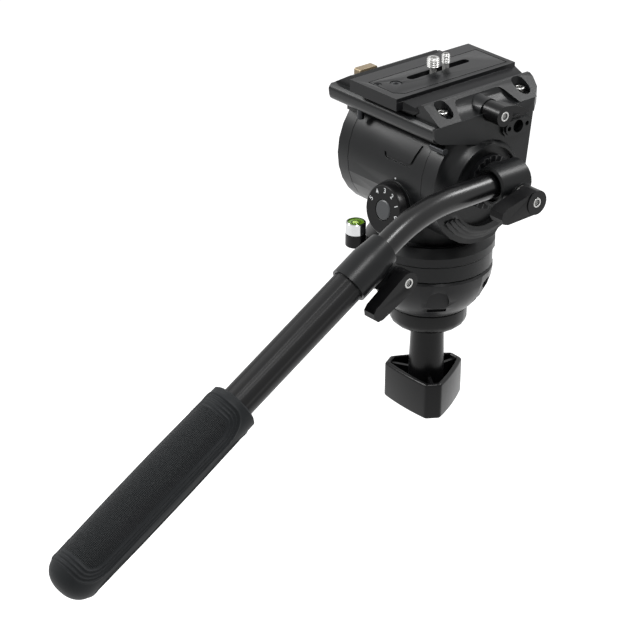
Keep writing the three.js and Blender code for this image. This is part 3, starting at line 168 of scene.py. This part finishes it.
# bright plated steel of the camera screws: lighter than the rest and less mirror-like
platedSteel = grainedFinish("platedSteelThread", {
    "dark": "#b4b4b2", "light": "#c4c4c2", "mottle": 3, "grain": 0.4, "rough": 0.34, "drift": 0.04,
    "bump": 0.1, "depth": 0.02, "metallic": 0.55})
# blackened steel of the pegs and the plate's screws, also used for the level's dark ring and for the painted
# shade rings in the levers' screws: dark grey with a metal sheen
blackenedSteel = grainedFinish("blackenedSteel", {
    "dark": "#2b2c2e", "light": "#38393b", "mottle": 3, "grain": 0.5, "rough": 0.4, "drift": 0.05,
    "bump": 0.15, "depth": 0.02, "metallic": 0.8})
# polished chrome ring of the level: almost a mirror
chromePlate = grainedFinish("chromePlate", {
    "dark": "#b9babb", "light": "#c8c9ca", "mottle": 4, "grain": 2, "rough": 0.12, "drift": 0.03,
    "bump": 0.04, "depth": 0.02, "metallic": 1})
# pale gold anodised catch button: a dull metal sheen
goldAnodised = grainedFinish("goldAnodisedAluminium", {
    "dark": "#83745c", "light": "#948469", "mottle": 5, "grain": 0.5, "rough": 0.4, "drift": 0.04,
    "bump": 0.12, "depth": 0.02, "metallic": 0.4})
# tinted spirit of the level: a strong wet green
levelSpirit = grainedFinish("tintedLevelSpirit", {
    "dark": "#5d8a0c", "light": "#76a616", "mottle": 3, "grain": 2, "rough": 0.08, "drift": 0.02,
    "bump": 0.0, "depth": 0.02})
# the bubble in the spirit: paler, with a sharper highlight
levelAir = grainedFinish("levelBubbleAir", {
    "dark": "#b9dc62", "light": "#cdea84", "mottle": 2, "grain": 2, "rough": 0.06, "drift": 0.01,
    "bump": 0.0, "depth": 0.02})
# grey paint of the dial's centre cap: lighter and duller than the dial
greyPaint = grainedFinish("greyPaintedCap", {
    "dark": "#37393b", "light": "#3f4143", "mottle": 6, "grain": 0.5, "rough": 0.45, "drift": 0.04,
    "bump": 0.15, "depth": 0.03})
# white pad print of the dial's numbers and its index: chalky and flat
whitePrint = grainedFinish("whitePadPrint", {
    "dark": "#dfe1e2", "light": "#eceeef", "mottle": 2, "grain": 0.4, "rough": 0.55, "drift": 0.05,
    "bump": 0.05, "depth": 0.01})
print("materials made")

finishOfSlot = {
    "painted": powderCoat, "anodised": anodised, "gloss_tube": glossEnamel, "grip_rubber": gripRubber,
    "steel": turnedSteel, "chrome": chromePlate, "moulded": mouldedNylon, "vial": levelSpirit,
    "amber": goldAnodised, "blackened": blackenedSteel,
}


# What every piece is made with, in millimetres and degrees

edgeBreak = {"merge": 0.002, "flat": 0.6, "sharp": 31, "width": 0.35, "segments": 2}


def boxOf(node):  # the node's low and high corners in millimetres
    return [np.array(corner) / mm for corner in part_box(node)]


def addObject(name, data):
    thing = bpy.data.objects.new(name, data)
    bpy.context.scene.collection.objects.link(thing)
    return thing


def cleanMesh(mesh, isCopy):
    # near points are merged; a copy loses the edges inside its flat faces, and a grid's faces turn outwards
    work = bmesh.new()
    work.from_mesh(mesh)
    bmesh.ops.remove_doubles(work, verts=work.verts, dist=edgeBreak["merge"] * mm)
    if isCopy:
        bmesh.ops.dissolve_limit(work, angle_limit=math.radians(edgeBreak["flat"]), verts=work.verts,
                                 edges=work.edges)
    else:
        bmesh.ops.recalc_face_normals(work, faces=work.faces)
    work.to_mesh(mesh)
    work.free()
    mesh.shade_smooth()
    mesh.set_sharp_from_angle(angle=math.radians(edgeBreak["sharp"]))


def finishedCopy(node, finish):
    # a node whose shape is right is finished as a merged copy, with its edges broken by a small bevel
    mesh = nodes[node].data.copy()
    cleanMesh(mesh, True)
    piece = addObject(node + "_finished", mesh)
    bevel = piece.modifiers.new("edgeBreak", "BEVEL")
    bevel.width = edgeBreak["width"] * mm
    bevel.segments = edgeBreak["segments"]
    bevel.limit_method = "ANGLE"
    bevel.angle_limit = math.radians(edgeBreak["sharp"])
    bevel.harden_normals = True
    bevel.use_clamp_overlap = True
    mesh.materials.clear()
    mesh.materials.append(finish)
    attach(piece, bodyOfNode[node])
    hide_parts(node)


def gridPiece(name, points, finish, body, replaced=None, attributes=None):
    # points in millimetres: rows run along the piece and columns run round it
    rows, columns, _ = points.shape
    index = np.arange(rows * columns).reshape(rows, columns)
    beside = np.roll(index, -1, axis=1)
    faces = np.stack([index[:-1], beside[:-1], beside[1:], index[1:]], axis=-1).reshape(-1, 4)
    mesh = bpy.data.meshes.new(name)
    mesh.from_pydata((points * mm).reshape(-1, 3).tolist(), [], faces.tolist())
    for key, values in (attributes or {}).items():
        layer = mesh.attributes.new(key, "FLOAT_VECTOR", "POINT")
        layer.data.foreach_set("vector", values.reshape(-1).astype(np.float32))
    cleanMesh(mesh, False)
    mesh.materials.append(finish)
    piece = addObject(name, mesh)
    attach(piece, body)
    if replaced:
        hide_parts(replaced)


def around(centres, forward, side, radii):
    # centre + radius (cos a up + sin a side), where up is square to the way the piece runs and to side
    angles = np.linspace(0, 2 * np.pi, radii.shape[1], endpoint=False)
    up = np.cross(forward, side)
    spokes = np.cos(angles)[None, :, None] * up[:, None] + np.sin(angles)[None, :, None] * np.asarray(side)
    return centres[:, None] + radii[..., None] * spokes


def turnedPiece(name, centre, forward, side, outline, columns, finish, body, replaced=None):
    # an outline of (length along the axis, radius) turned about the axis
    lengths, radii = np.array(outline, dtype=float).T
    way = np.asarray(forward, dtype=float)
    centres = np.asarray(centre, dtype=float) + lengths[:, None] * way
    radii = radii[:, None] * np.ones(columns)
    gridPiece(name, around(centres, np.broadcast_to(way, centres.shape), side, radii), finish, body,
              replaced)


def bandOutline(foot, top, inside, outside):  # a closed rectangle, which turns into a flat ring
    return [(foot, inside), (top, inside), (top, outside), (foot, outside), (foot, inside)]


# The bar, its tube and its grip

# x, z and startY are the bar's start and bendY its corner; past the corner it runs on inside the tube
bar = {"x": 78, "z": 88.8, "startY": -6.5, "bendY": -86, "slope": 30.4, "bendRadius": 112, "inside": 150,
       "radius": 9, "rows": 90, "columns": 72}
barSlope = math.radians(bar["slope"])
barHalfBend = bar["bendRadius"] * math.tan(barSlope / 2)
barLevelRun = bar["startY"] - bar["bendY"] - barHalfBend
pastCorner = barLevelRun + bar["bendRadius"] * barSlope - barHalfBend  # the corner's distance along the bar


def barPath(distance):
    # level first, then an arc, then straight down the slope: the place and direction at each distance
    turn = np.clip((distance - barLevelRun) / bar["bendRadius"], 0, barSlope)
    level = np.minimum(distance, barLevelRun)
    sloped = np.maximum(distance - barLevelRun - bar["bendRadius"] * barSlope, 0)
    y = bar["startY"] - level - bar["bendRadius"] * np.sin(turn) - sloped * np.cos(turn)
    z = bar["z"] - bar["bendRadius"] * (1 - np.cos(turn)) - sloped * np.sin(turn)
    place = np.stack([np.full_like(y, bar["x"]), y, z], axis=-1)
    forward = np.stack([np.zeros_like(y), -np.cos(turn), -np.sin(turn)], axis=-1)
    return place, forward


def alongBar(name, distance, radii, finish, node, attributes=None):
    place, forward = barPath(distance)
    gridPiece(name, around(place, forward, (1, 0, 0), radii), finish, bodyOfNode[node],
              node, attributes)


def makeBarTube():
    # a round bar: the radius is the same all along, and falls to nothing at both ends
    end = pastCorner + bar["inside"]
    distance = np.concatenate([[0], np.linspace(0, end, bar["rows"]), [end]])
    radii = np.full((len(distance), bar["columns"]), float(bar["radius"]))
    radii[[0, -1]] = 0
    alongBar("barTubeDrawn", distance, radii, glossEnamel, "bar_tube")


# the places along the tube are distances past the bar's corner
outerTube = {"radius": 12.2, "bore": 9.35, "low": 53.5, "end": 270, "fluteLow": 75.5, "fluteEnd": 190.7,
             "fluteWidth": 4.8, "fluteDepth": 0.5, "flutes": 8, "turn": -8.7, "fade": 1.5, "columns": 256}


def makeOuterTube():
    # outer skin down, then the bore back up. A flute is one raised cosine wave across its width
    t = outerTube
    skin = np.array([t["low"], t["fluteLow"], t["fluteLow"] + t["fade"], t["fluteEnd"] - t["fade"],
                     t["fluteEnd"], t["end"]])
    deep = np.array([0, 0, 1, 1, 0, 0])
    angles = np.linspace(0, 2 * np.pi, t["columns"], endpoint=False)
    across = ((angles - math.radians(t["turn"])) * t["flutes"] / (2 * np.pi) + 0.5) % 1 - 0.5
    across = across * 2 * np.pi * t["radius"] / t["flutes"]
    wave = np.where(np.abs(across) < t["fluteWidth"] / 2,
                    (1 + np.cos(2 * np.pi * across / t["fluteWidth"])) / 2, 0)
    outside = t["radius"] - t["fluteDepth"] * deep[:, None] * wave[None]
    inside = np.full((2, t["columns"]), t["bore"])
    distance = pastCorner + np.concatenate([skin, [t["end"], t["low"], t["low"]]])
    alongBar("outerTubeFluted", distance, np.concatenate([outside, inside, outside[:1]]), satinEnamel,
             "outer_tube")


# start, end and boreEnd are distances past the bar's corner too; the cap is the closed end's length
grip = {"start": 191, "end": 364.5, "endRadius": 18.2, "midRadius": 19.3, "cuffRadius": 16.4, "cuff": 1.4,
        "cap": 17, "capPower": 2.3, "bore": 12.55, "boreEnd": 270.35, "rows": 330, "columns": 196}
# one panel on each side. squeeze draws its ridges together round the grip; sink is the panel's depth;
# the hatching starts hatchIn inside the outline and reaches its full height over hatchFade
gripPanel = {"turn": 15, "halfWidth": 26, "low": 6.5, "high": 10.3, "corner": 21, "ridges": 4, "pitch": 3.0,
             "squeeze": 1.42, "ridgeWidth": 0.8, "ridgeHeight": 0.85, "sink": 0.6, "hatchIn": 10.8,
             "hatchFade": 1.2}


def panelDistance(distance, fromPanel):
    # how far outside the panel's outline, a rounded rectangle in unrolled lengths; negative inside it
    g, p = grip, gripPanel
    across = np.abs(fromPanel) * g["endRadius"] * p["squeeze"]
    middle = (g["start"] + p["low"] + g["end"] - p["high"]) / 2
    halfLength = (g["end"] - p["high"] - g["start"] - p["low"]) / 2
    qx = across[None] - p["halfWidth"] * p["squeeze"] + p["corner"]
    qy = np.abs(distance - middle)[:, None] - halfLength + p["corner"]
    return np.hypot(np.maximum(qx, 0), np.maximum(qy, 0)) + np.minimum(np.maximum(qx, qy), 0) - p["corner"]


def makeGrip():
    # the radius swells by half a sine wave towards the middle and closes at the end by a power curve.
    # The panels' ridges are bells on lines of equal distance from the outline
    g, p = grip, gripPanel
    distance = np.linspace(g["start"] + g["cuff"], g["end"], g["rows"])
    share = (distance - g["start"]) / (g["end"] - g["start"])
    body = g["endRadius"] + (g["midRadius"] - g["endRadius"]) * np.sin(np.pi * share)
    past = np.clip((distance - g["end"] + g["cap"]) / g["cap"], 0, 1)
    body = body * (1 - past ** g["capPower"]) ** (1 / g["capPower"])
    angles = np.linspace(0, 2 * np.pi, g["columns"], endpoint=False)
    fromPanel = (angles - math.radians(p["turn"]) + np.pi / 2) % np.pi - np.pi / 2  # to the nearer panel
    outside = panelDistance(distance, fromPanel)
    lines = np.arange(p["ridges"]) * p["pitch"]
    bells = np.exp(-((outside[..., None] + lines) / p["ridgeWidth"]) ** 2).sum(axis=-1)
    sunk = np.clip(-outside / p["pitch"] + 0.5, 0, 1)  # from none to all across the outline
    radii = body[:, None] + np.minimum(body, 1)[:, None] * (p["ridgeHeight"] * bells - p["sink"] * sunk)
    radii = np.minimum(radii, g["midRadius"])
    radii[-1] = 0
    mask = np.clip((-outside - p["hatchIn"]) / p["hatchFade"], 0, 1)
    # the bore's floor, its wall and the cuff's end come before the outside
    lead = [(g["boreEnd"], 0), (g["boreEnd"], g["bore"]), (g["start"], g["bore"]),
            (g["start"], g["cuffRadius"])]
    leadDistance, leadRadii = np.array(lead).T
    distance = np.concatenate([leadDistance, distance])
    radii = np.concatenate([leadRadii[:, None] * np.ones(g["columns"]), radii])
    mask = np.concatenate([np.zeros((len(lead), g["columns"])), mask])
    unrolled = np.broadcast_to((fromPanel * g["endRadius"])[None], radii.shape)
    lengths = np.broadcast_to(distance[:, None], radii.shape)
    alongBar("handGripMoulded", pastCorner + distance, radii, gripRubber, "hand_grip",
             {"panel": np.stack([unrolled, lengths, mask], axis=-1)})


makeBarTube()
makeOuterTube()
makeGrip()
print("bar, tube and grip made")


# The camera screws

cameraScrews = {
    "camera_screw_large": {"radius": 4.76, "pitch": 1.5875, "depth": 0.85, "hex": 2.2},
    "camera_screw_small": {"radius": 3.175, "pitch": 1.27, "depth": 0.7, "hex": 1.5},
}
# neckTop and head are heights in the frame; tip is the bevel at the top of the thread
screwForm = {"neck": 2.5, "neckTop": 152.8, "head": 145.3, "tip": 0.9, "socketDepth": 1.8, "rows": 110,
             "columns": 48}


def makeCameraScrew(node, size):
    # the thread is a triangle wave in height that climbs one pitch a turn; the socket's rim is a hexagon
    f = screwForm
    low, high = boxOf(node)
    middle, top = (low + high) / 2, high[2]
    headRadius = (high[0] - low[0]) / 2
    angles = np.linspace(0, 2 * np.pi, f["columns"], endpoint=False)
    heights = np.linspace(f["neckTop"], top, f["rows"])
    phase = (heights[:, None] / size["pitch"] - angles[None] / (2 * np.pi)) % 1
    thread = size["radius"] - size["depth"] * np.abs(2 * phase - 1)
    thread = np.minimum(thread, size["radius"] - f["tip"] + np.maximum(top - heights, 0)[:, None])
    thread = np.minimum(thread, size["radius"] - size["depth"] + (heights - f["neckTop"])[:, None])
    hexagon = size["hex"] / np.cos((angles + np.pi / 6) % (np.pi / 3) - np.pi / 6)
    ring = np.ones(f["columns"])
    rows = [(low[2], 0 * ring), (low[2], headRadius * ring), (f["head"], headRadius * ring),
            (f["head"], f["neck"] * ring), (f["neckTop"], f["neck"] * ring)]
    rows += list(zip(heights, thread))
    rows += [(top, hexagon), (top - f["socketDepth"], hexagon), (top - f["socketDepth"], 0 * ring)]
    z = np.array([row[0] for row in rows])
    radii = np.stack([row[1] for row in rows])
    centres = np.stack([np.full_like(z, middle[0]), np.full_like(z, middle[1]), z], axis=-1)
    forward = np.broadcast_to(np.array([0.0, 0.0, 1.0]), centres.shape)
    gridPiece(node + "_threaded", around(centres, forward, (1, 0, 0), radii), platedSteel, bodyOfNode[node],
              node)


for node, size in cameraScrews.items():
    makeCameraScrew(node, size)
print("camera screws threaded")


# The dial's numbers and its index

# lean tips the face back; first and step are the angles of the first number and from each to the next
dial = {"place": (13.7, -61.7, 60.0), "lean": 9.7, "radius": 14.3, "size": 5.2, "first": 160, "step": -33,
        "numbers": "543210", "proud": 0.06, "thicken": 0.06}
dialLean = math.radians(dial["lean"])
dialOut = np.array([0, -math.cos(dialLean), math.sin(dialLean)])
dialUp = np.array([0, math.sin(dialLean), math.cos(dialLean)])


def makeNumber(count, number):
    # a flat figure stands on the dial's face with its top outwards
    letters = bpy.data.curves.new("dialNumber", "FONT")
    letters.body = number
    letters.size = dial["size"]
    letters.align_x = "CENTER"
    letters.align_y = "CENTER"
    letters.extrude = dial["proud"]
    letters.offset = dial["thicken"]
    holder = bpy.data.objects.new("dialNumber", letters)
    flat = bpy.data.meshes.new_from_object(holder)
    bpy.data.objects.remove(holder)
    turn = math.radians(dial["first"] + dial["step"] * count)
    outward = Vector(math.cos(turn) * np.array([1, 0, 0]) + math.sin(turn) * dialUp)
    sideways = outward.cross(Vector(dialOut))
    place = Vector(dial["place"]) + outward * dial["radius"]
    turned = Matrix((sideways, outward, Vector(dialOut))).transposed().to_4x4()
    flat.transform(Matrix.Scale(mm, 4) @ Matrix.Translation(place) @ turned)
    flat.materials.clear()
    flat.materials.append(whitePrint)
    piece = addObject(f"dialNumber{number}", flat)
    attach(piece, bodyOfNode["counterbalance_dial"])


indexDot = {"place": (13.7, -49.6, 81.7), "radius": 0.75, "flat": 0.6, "wall": 0.5, "height": 0.55,
            "columns": 20}


def makeIndexDot():
    # a low disc with a bevelled rim on the drum, above the dial
    d = indexDot
    outline = [(0, 0), (0, d["radius"]), (d["wall"], d["radius"]), (d["height"], d["flat"]), (d["height"], 0)]
    turnedPiece("dialIndexDot", d["place"], (0, -1, 0), (1, 0, 0), outline, d["columns"], whitePrint,
                bodyOfNode["drum_casing"])


for count, number in enumerate(dial["numbers"]):
    makeNumber(count, number)
makeIndexDot()
print("dial numbered")


# The level

# sunk is how far the spirit lies under the vial's top, and foot how far the bubble reaches down into it
levelRing = {"lip": 1.2, "edge": 0.5, "depth": 4, "columns": 64}
levelVial = {"sunk": 0.5, "columns": 48}
levelBubble = {"radius": 2.3, "rise": 0.5, "foot": 0.2, "steps": 8, "columns": 32}
levelMark = {"inside": 3.0, "outside": 3.5, "half": 0.1, "columns": 40}


def makeLevelRing():
    # a cup turned in one outline: up the outside, over the bevelled lip and down to the vial's floor
    r = levelRing
    low, high = boxOf("level_ring")
    centre = (low + high) / 2
    radius, height = (high[0] - low[0]) / 2, high[2] - low[2]
    inside, floor = radius - r["lip"], height - r["depth"]
    outline = [(0, 0), (0, radius), (height - r["edge"], radius), (height, radius - r["edge"]),
               (height, inside), (floor, inside), (floor, 0)]
    turnedPiece("levelRingTurned", (centre[0], centre[1], low[2]), (0, 0, 1), (1, 0, 0), outline,
                r["columns"], chromePlate, bodyOfNode["level_ring"], "level_ring")


def makeLevelVial():
    # a flat disc of spirit, the bubble on it, a quarter of an ellipse turned round, and a dark thin ring
    v, b, m = levelVial, levelBubble, levelMark
    low, high = boxOf("level_vial")
    middle = (low + high) / 2
    centre = (middle[0], middle[1], high[2])
    radius, depth = (high[0] - low[0]) / 2, low[2] - high[2]
    body = bodyOfNode["level_vial"]
    turnedPiece("levelVialSpirit", centre, (0, 0, 1), (1, 0, 0),
                [(depth, 0), (depth, radius), (-v["sunk"], radius), (-v["sunk"], 0)], v["columns"],
                levelSpirit, body, "level_vial")
    turns = np.linspace(0, np.pi / 2, b["steps"])
    dome = [(-v["sunk"] - b["foot"], 0), (-v["sunk"] - b["foot"], b["radius"])]
    dome += [(b["rise"] * math.sin(turn) - v["sunk"], b["radius"] * math.cos(turn)) for turn in turns]
    turnedPiece("levelBubble", centre, (0, 0, 1), (1, 0, 0), dome, b["columns"], levelAir, body)
    turnedPiece("levelCentreRing", centre, (0, 0, 1), (1, 0, 0),
                bandOutline(-v["sunk"] - m["half"], m["half"] - v["sunk"], m["inside"], m["outside"]),
                m["columns"], blackenedSteel, body)


makeLevelRing()
makeLevelVial()


# The painted shade rings in the levers' screws

# depth is how far the ring's foot lies under the face of the screw
screwShade = {"inside": 1.62, "outside": 2.42, "depth": 0.7, "height": 0.25, "columns": 32}
leverScrews = {"bar_clamp_screw": (1, 0, 0), "collar_lever_screw": (1, 0, 0), "plate_lock_screw": (1, 0, 0),
               "pan_lock_screw": (-1, 0, 0), "tilt_lock_screw": (0, 1, 0)}  # the way each screw faces


def makeScrewShade(node, way):
    # a dark ring of painted shade on the floor of the screw, between its bright rim and its socket
    s = screwShade
    low, high = boxOf(node)
    way = np.array(way, dtype=float)
    face = (low + high) / 2 + way * np.abs(high - low) / 2
    turnedPiece(node + "_shade", face, way, (0, 0, 1),
                bandOutline(-s["depth"], s["height"] - s["depth"], s["inside"], s["outside"]), s["columns"],
                blackenedSteel, bodyOfNode[node])


for node, way in leverScrews.items():
    makeScrewShade(node, way)
print("marks and rings made")


# The knob under the bowl

# side and flat are the distances from the axis to the middle of a side and of a corner's flat, and bulge
# is the radius of the side's curve. A higher power gives a sharper edge between them
knob = {"corners": 3, "turn": 88, "side": 22.4, "bulge": 200, "flat": 31.7, "power": 75, "wall": 3.6,
        "round": 2.2, "roundSteps": 6, "lip": 0.8, "height": 30, "floor": 10.5, "columns": 192,
        "leastShare": 0.05}
knobSleeve = {"foot": 8, "footRadius": 13.8, "topRadius": 12.6, "bore": 6.75, "edge": 0.6, "columns": 64}
# drop is how far a rib's top lies under the rim; start and end are distances from the axis
knobRib = {"width": 2.6, "drop": 2.4, "start": 11, "end": 29}


def knobRadius(angles, inset):
    # the distance to each bulged side and to each corner's flat, joined by a high power so that edges are
    # soft. The cosine is held at leastShare or more, so that a flat that lies behind stays far outside
    corners = np.arange(knob["corners"]) * 2 * np.pi / knob["corners"]
    corner = angles[None] - math.radians(knob["turn"]) - corners[:, None]
    flat = (knob["flat"] - inset) / np.maximum(np.cos(corner), knob["leastShare"])
    back = knob["bulge"] - knob["side"]
    beside = corner - np.pi / knob["corners"]
    side = -back * np.cos(beside) + np.sqrt((knob["bulge"] - inset) ** 2 - (back * np.sin(beside)) ** 2)
    return ((flat ** -knob["power"] + side ** -knob["power"]).sum(axis=0)) ** (-1 / knob["power"])


def makeKnobShell(low):
    # rows of (height, inset): up the outside with quarter rounds, over the lip, down the wall to the floor
    k = knob
    top = low + k["height"]
    turn = np.linspace(0, np.pi / 2, k["roundSteps"])
    inset, rise = k["round"] * (1 - np.sin(turn)), k["round"] * (1 - np.cos(turn))
    heights = np.concatenate([low + rise, (top - rise)[::-1], [top, top - k["lip"], low + k["floor"]]])
    insets = np.concatenate([inset, inset[::-1], [k["wall"] - k["lip"], k["wall"], k["wall"]]])
    angles = np.linspace(0, 2 * np.pi, k["columns"], endpoint=False)
    radii = np.stack([knobRadius(angles, value) for value in insets])
    radii = np.concatenate([0 * radii[:1], radii, 0 * radii[:1]])
    heights = np.concatenate([[low], heights, [low + k["floor"]]])
    levels = np.broadcast_to(heights[:, None], radii.shape)
    points = np.stack([radii * np.cos(angles), radii * np.sin(angles), levels], axis=-1)
    gridPiece("bowlKnobShell", points, mouldedNylon, bodyOfNode["bowl_knob"], "bowl_knob")


def makeKnobSleeve(low, top):
    # heights are from the knob's foot: up the bore, over the bevelled top and down the tapered outside
    k, s = knob, knobSleeve
    floor = k["floor"] + s["edge"]
    outline = [(floor, 0), (floor, s["bore"]), (top, s["bore"]), (top, s["topRadius"] - s["edge"]),
               (top - s["edge"], s["topRadius"]), (k["height"], s["footRadius"]),
               (s["foot"], s["footRadius"]), (s["foot"], 0)]
    turnedPiece("bowlKnobSleeve", (0, 0, low), (0, 0, 1), (1, 0, 0), outline, s["columns"], mouldedNylon,
                bodyOfNode["bowl_knob"])


def makeKnobRib(count, low):
    # a box with closed ends, from the sleeve out to a corner
    k, r = knob, knobRib
    foot = knobSleeve["foot"]
    way = math.radians(k["turn"] + 360 / k["corners"] * count)
    out, beside = np.array([math.cos(way), math.sin(way), 0]), np.array([-math.sin(way), math.cos(way), 0])
    section = np.array([[-1, 0], [1, 0], [1, 1], [-1, 1]], dtype=float)
    section = section * [r["width"] / 2, k["height"] - r["drop"] - foot] + [0, low + foot]
    middle = np.broadcast_to(section.mean(axis=0), section.shape)
    rows = [(r["start"], middle), (r["start"], section), (r["end"], section), (r["end"], middle)]
    points = np.stack([reach * out + row[:, :1] * beside + row[:, 1:] * np.array([0, 0, 1])
                       for reach, row in rows])
    gridPiece(f"bowlKnobRib{count}", points, mouldedNylon, bodyOfNode["bowl_knob"])


knobLow, knobHigh = (corner[2] for corner in boxOf("bowl_knob"))
makeKnobShell(knobLow)
makeKnobSleeve(knobLow, knobHigh - knobLow)
for count in range(knob["corners"]):
    makeKnobRib(count, knobLow)
print("knob made")


# Every other node

remade = {"bowl_knob", "bar_tube", "outer_tube", "hand_grip", "camera_screw_large", "camera_screw_small",
          "level_vial", "level_ring"}
finishOfNode = {"dial_cap": greyPaint}  # where the slot's own finish isn't right
for node in nodes:
    if node not in remade:
        finishedCopy(node, finishOfNode.get(node, finishOfSlot[slotOfNode[node]]))
print("copies finished")


# Camera, floor and light

# degrees, metres, and millimetres for the lens and the sensor
view = {"azimuth": 49.13, "elevation": 26.78, "roll": 0.72, "place": (1.23783, -1.17992, 0.80636),
        "lens": 140.63, "sensor": 36}


def makeCamera():
    # right, up and back of the camera: turned by the azimuth, lifted by the elevation, then rolled
    a, e, r = (math.radians(view[key]) for key in ("azimuth", "elevation", "roll"))
    right = Vector((math.cos(a), math.sin(a), 0))
    back = Vector((math.sin(a) * math.cos(e), -math.cos(a) * math.cos(e), math.sin(e)))
    up = back.cross(right)
    rolledRight = right * math.cos(r) + up * math.sin(r)
    rolledUp = up * math.cos(r) - right * math.sin(r)
    lens = bpy.data.cameras.new("camera")
    lens.lens = view["lens"]
    lens.sensor_width = view["sensor"]
    camera = addObject("camera", lens)
    turned = Matrix((rolledRight, rolledUp, back)).transposed().to_4x4()
    camera.matrix_world = Matrix.Translation(view["place"]) @ turned
    bpy.context.scene.camera = camera


def seenRays(tree):
    # 1 for the rays of the camera, of mirrors and of glass, and 0 for the rays that light the object
    rays = addNode(tree, "LightPath").outputs
    mirrored = addNode(tree, "Math", {0: rays["Is Glossy Ray"], 1: rays["Is Transmission Ray"]},
                       operation="MAXIMUM")
    seen = addNode(tree, "Math", {0: mirrored.outputs[0], 1: rays["Is Camera Ray"]}, operation="MAXIMUM")
    return seen.outputs[0]


# in metres; the drop is enough for the bar and its grip to clear the floor in their whole swing
stage = {"drop": 0.35, "size": 12, "colour": "#d8d8d8", "rough": 0.9, "lift": 0.8}


def makeFloor():
    # a pale matt sheet; the camera, mirrors and glass see white light added, and the shadow stays
    low = cadLow.z - stage["drop"]
    half = stage["size"] / 2
    mesh = bpy.data.meshes.new("floor")
    mesh.from_pydata([(-half, -half, low), (half, -half, low), (half, half, low), (-half, half, low)], [],
                     [(0, 1, 2, 3)])
    floor = addObject("floor", mesh)
    material, tree, shader = newMaterial("paleFloor")
    shader.inputs["Base Color"].default_value = linearColour(stage["colour"])
    shader.inputs["Roughness"].default_value = stage["rough"]
    shader.inputs["Specular IOR Level"].default_value = 0
    shader.inputs["Emission Color"].default_value = (1, 1, 1, 1)
    seen = addNode(tree, "Math", {0: seenRays(tree), 1: stage["lift"]}, operation="MULTIPLY")
    tree.links.new(seen.outputs[0], shader.inputs["Emission Strength"])
    mesh.materials.append(material)


lamps = {
    "key": {"place": (-1.0, -1.1, 1.15), "size": 0.45, "power": 24},
    "side": {"place": (0.95, -0.3, 1.85), "size": 0.4, "power": 20},
    "back": {"place": (0.45, 1.15, 1.35), "size": 0.5, "power": 16},
}
worldLight = {"colour": "#ffffff", "diffuse": 0.1}


def makeLight():
    # a white world that lights little, and three square lamps turned to the origin
    world = bpy.data.worlds.new("studio")
    world.use_nodes = True
    tree = world.node_tree
    background = tree.nodes["Background"]
    background.inputs["Color"].default_value = linearColour(worldLight["colour"])
    strength = addNode(tree, "MapRange", {"Value": seenRays(tree), "To Min": worldLight["diffuse"],
                                          "To Max": 1})
    tree.links.new(strength.outputs["Result"], background.inputs["Strength"])
    bpy.context.scene.world = world
    for name, values in lamps.items():
        lamp = bpy.data.lights.new(name, "AREA")
        lamp.size = values["size"]
        lamp.energy = values["power"]
        holder = addObject(name, lamp)
        holder.location = values["place"]
        holder.rotation_euler = (-Vector(values["place"])).to_track_quat("-Z", "Y").to_euler()


makeCamera()
makeFloor()
makeLight()
bpy.context.scene.view_settings.view_transform = "Standard"
print("camera, floor and light set")
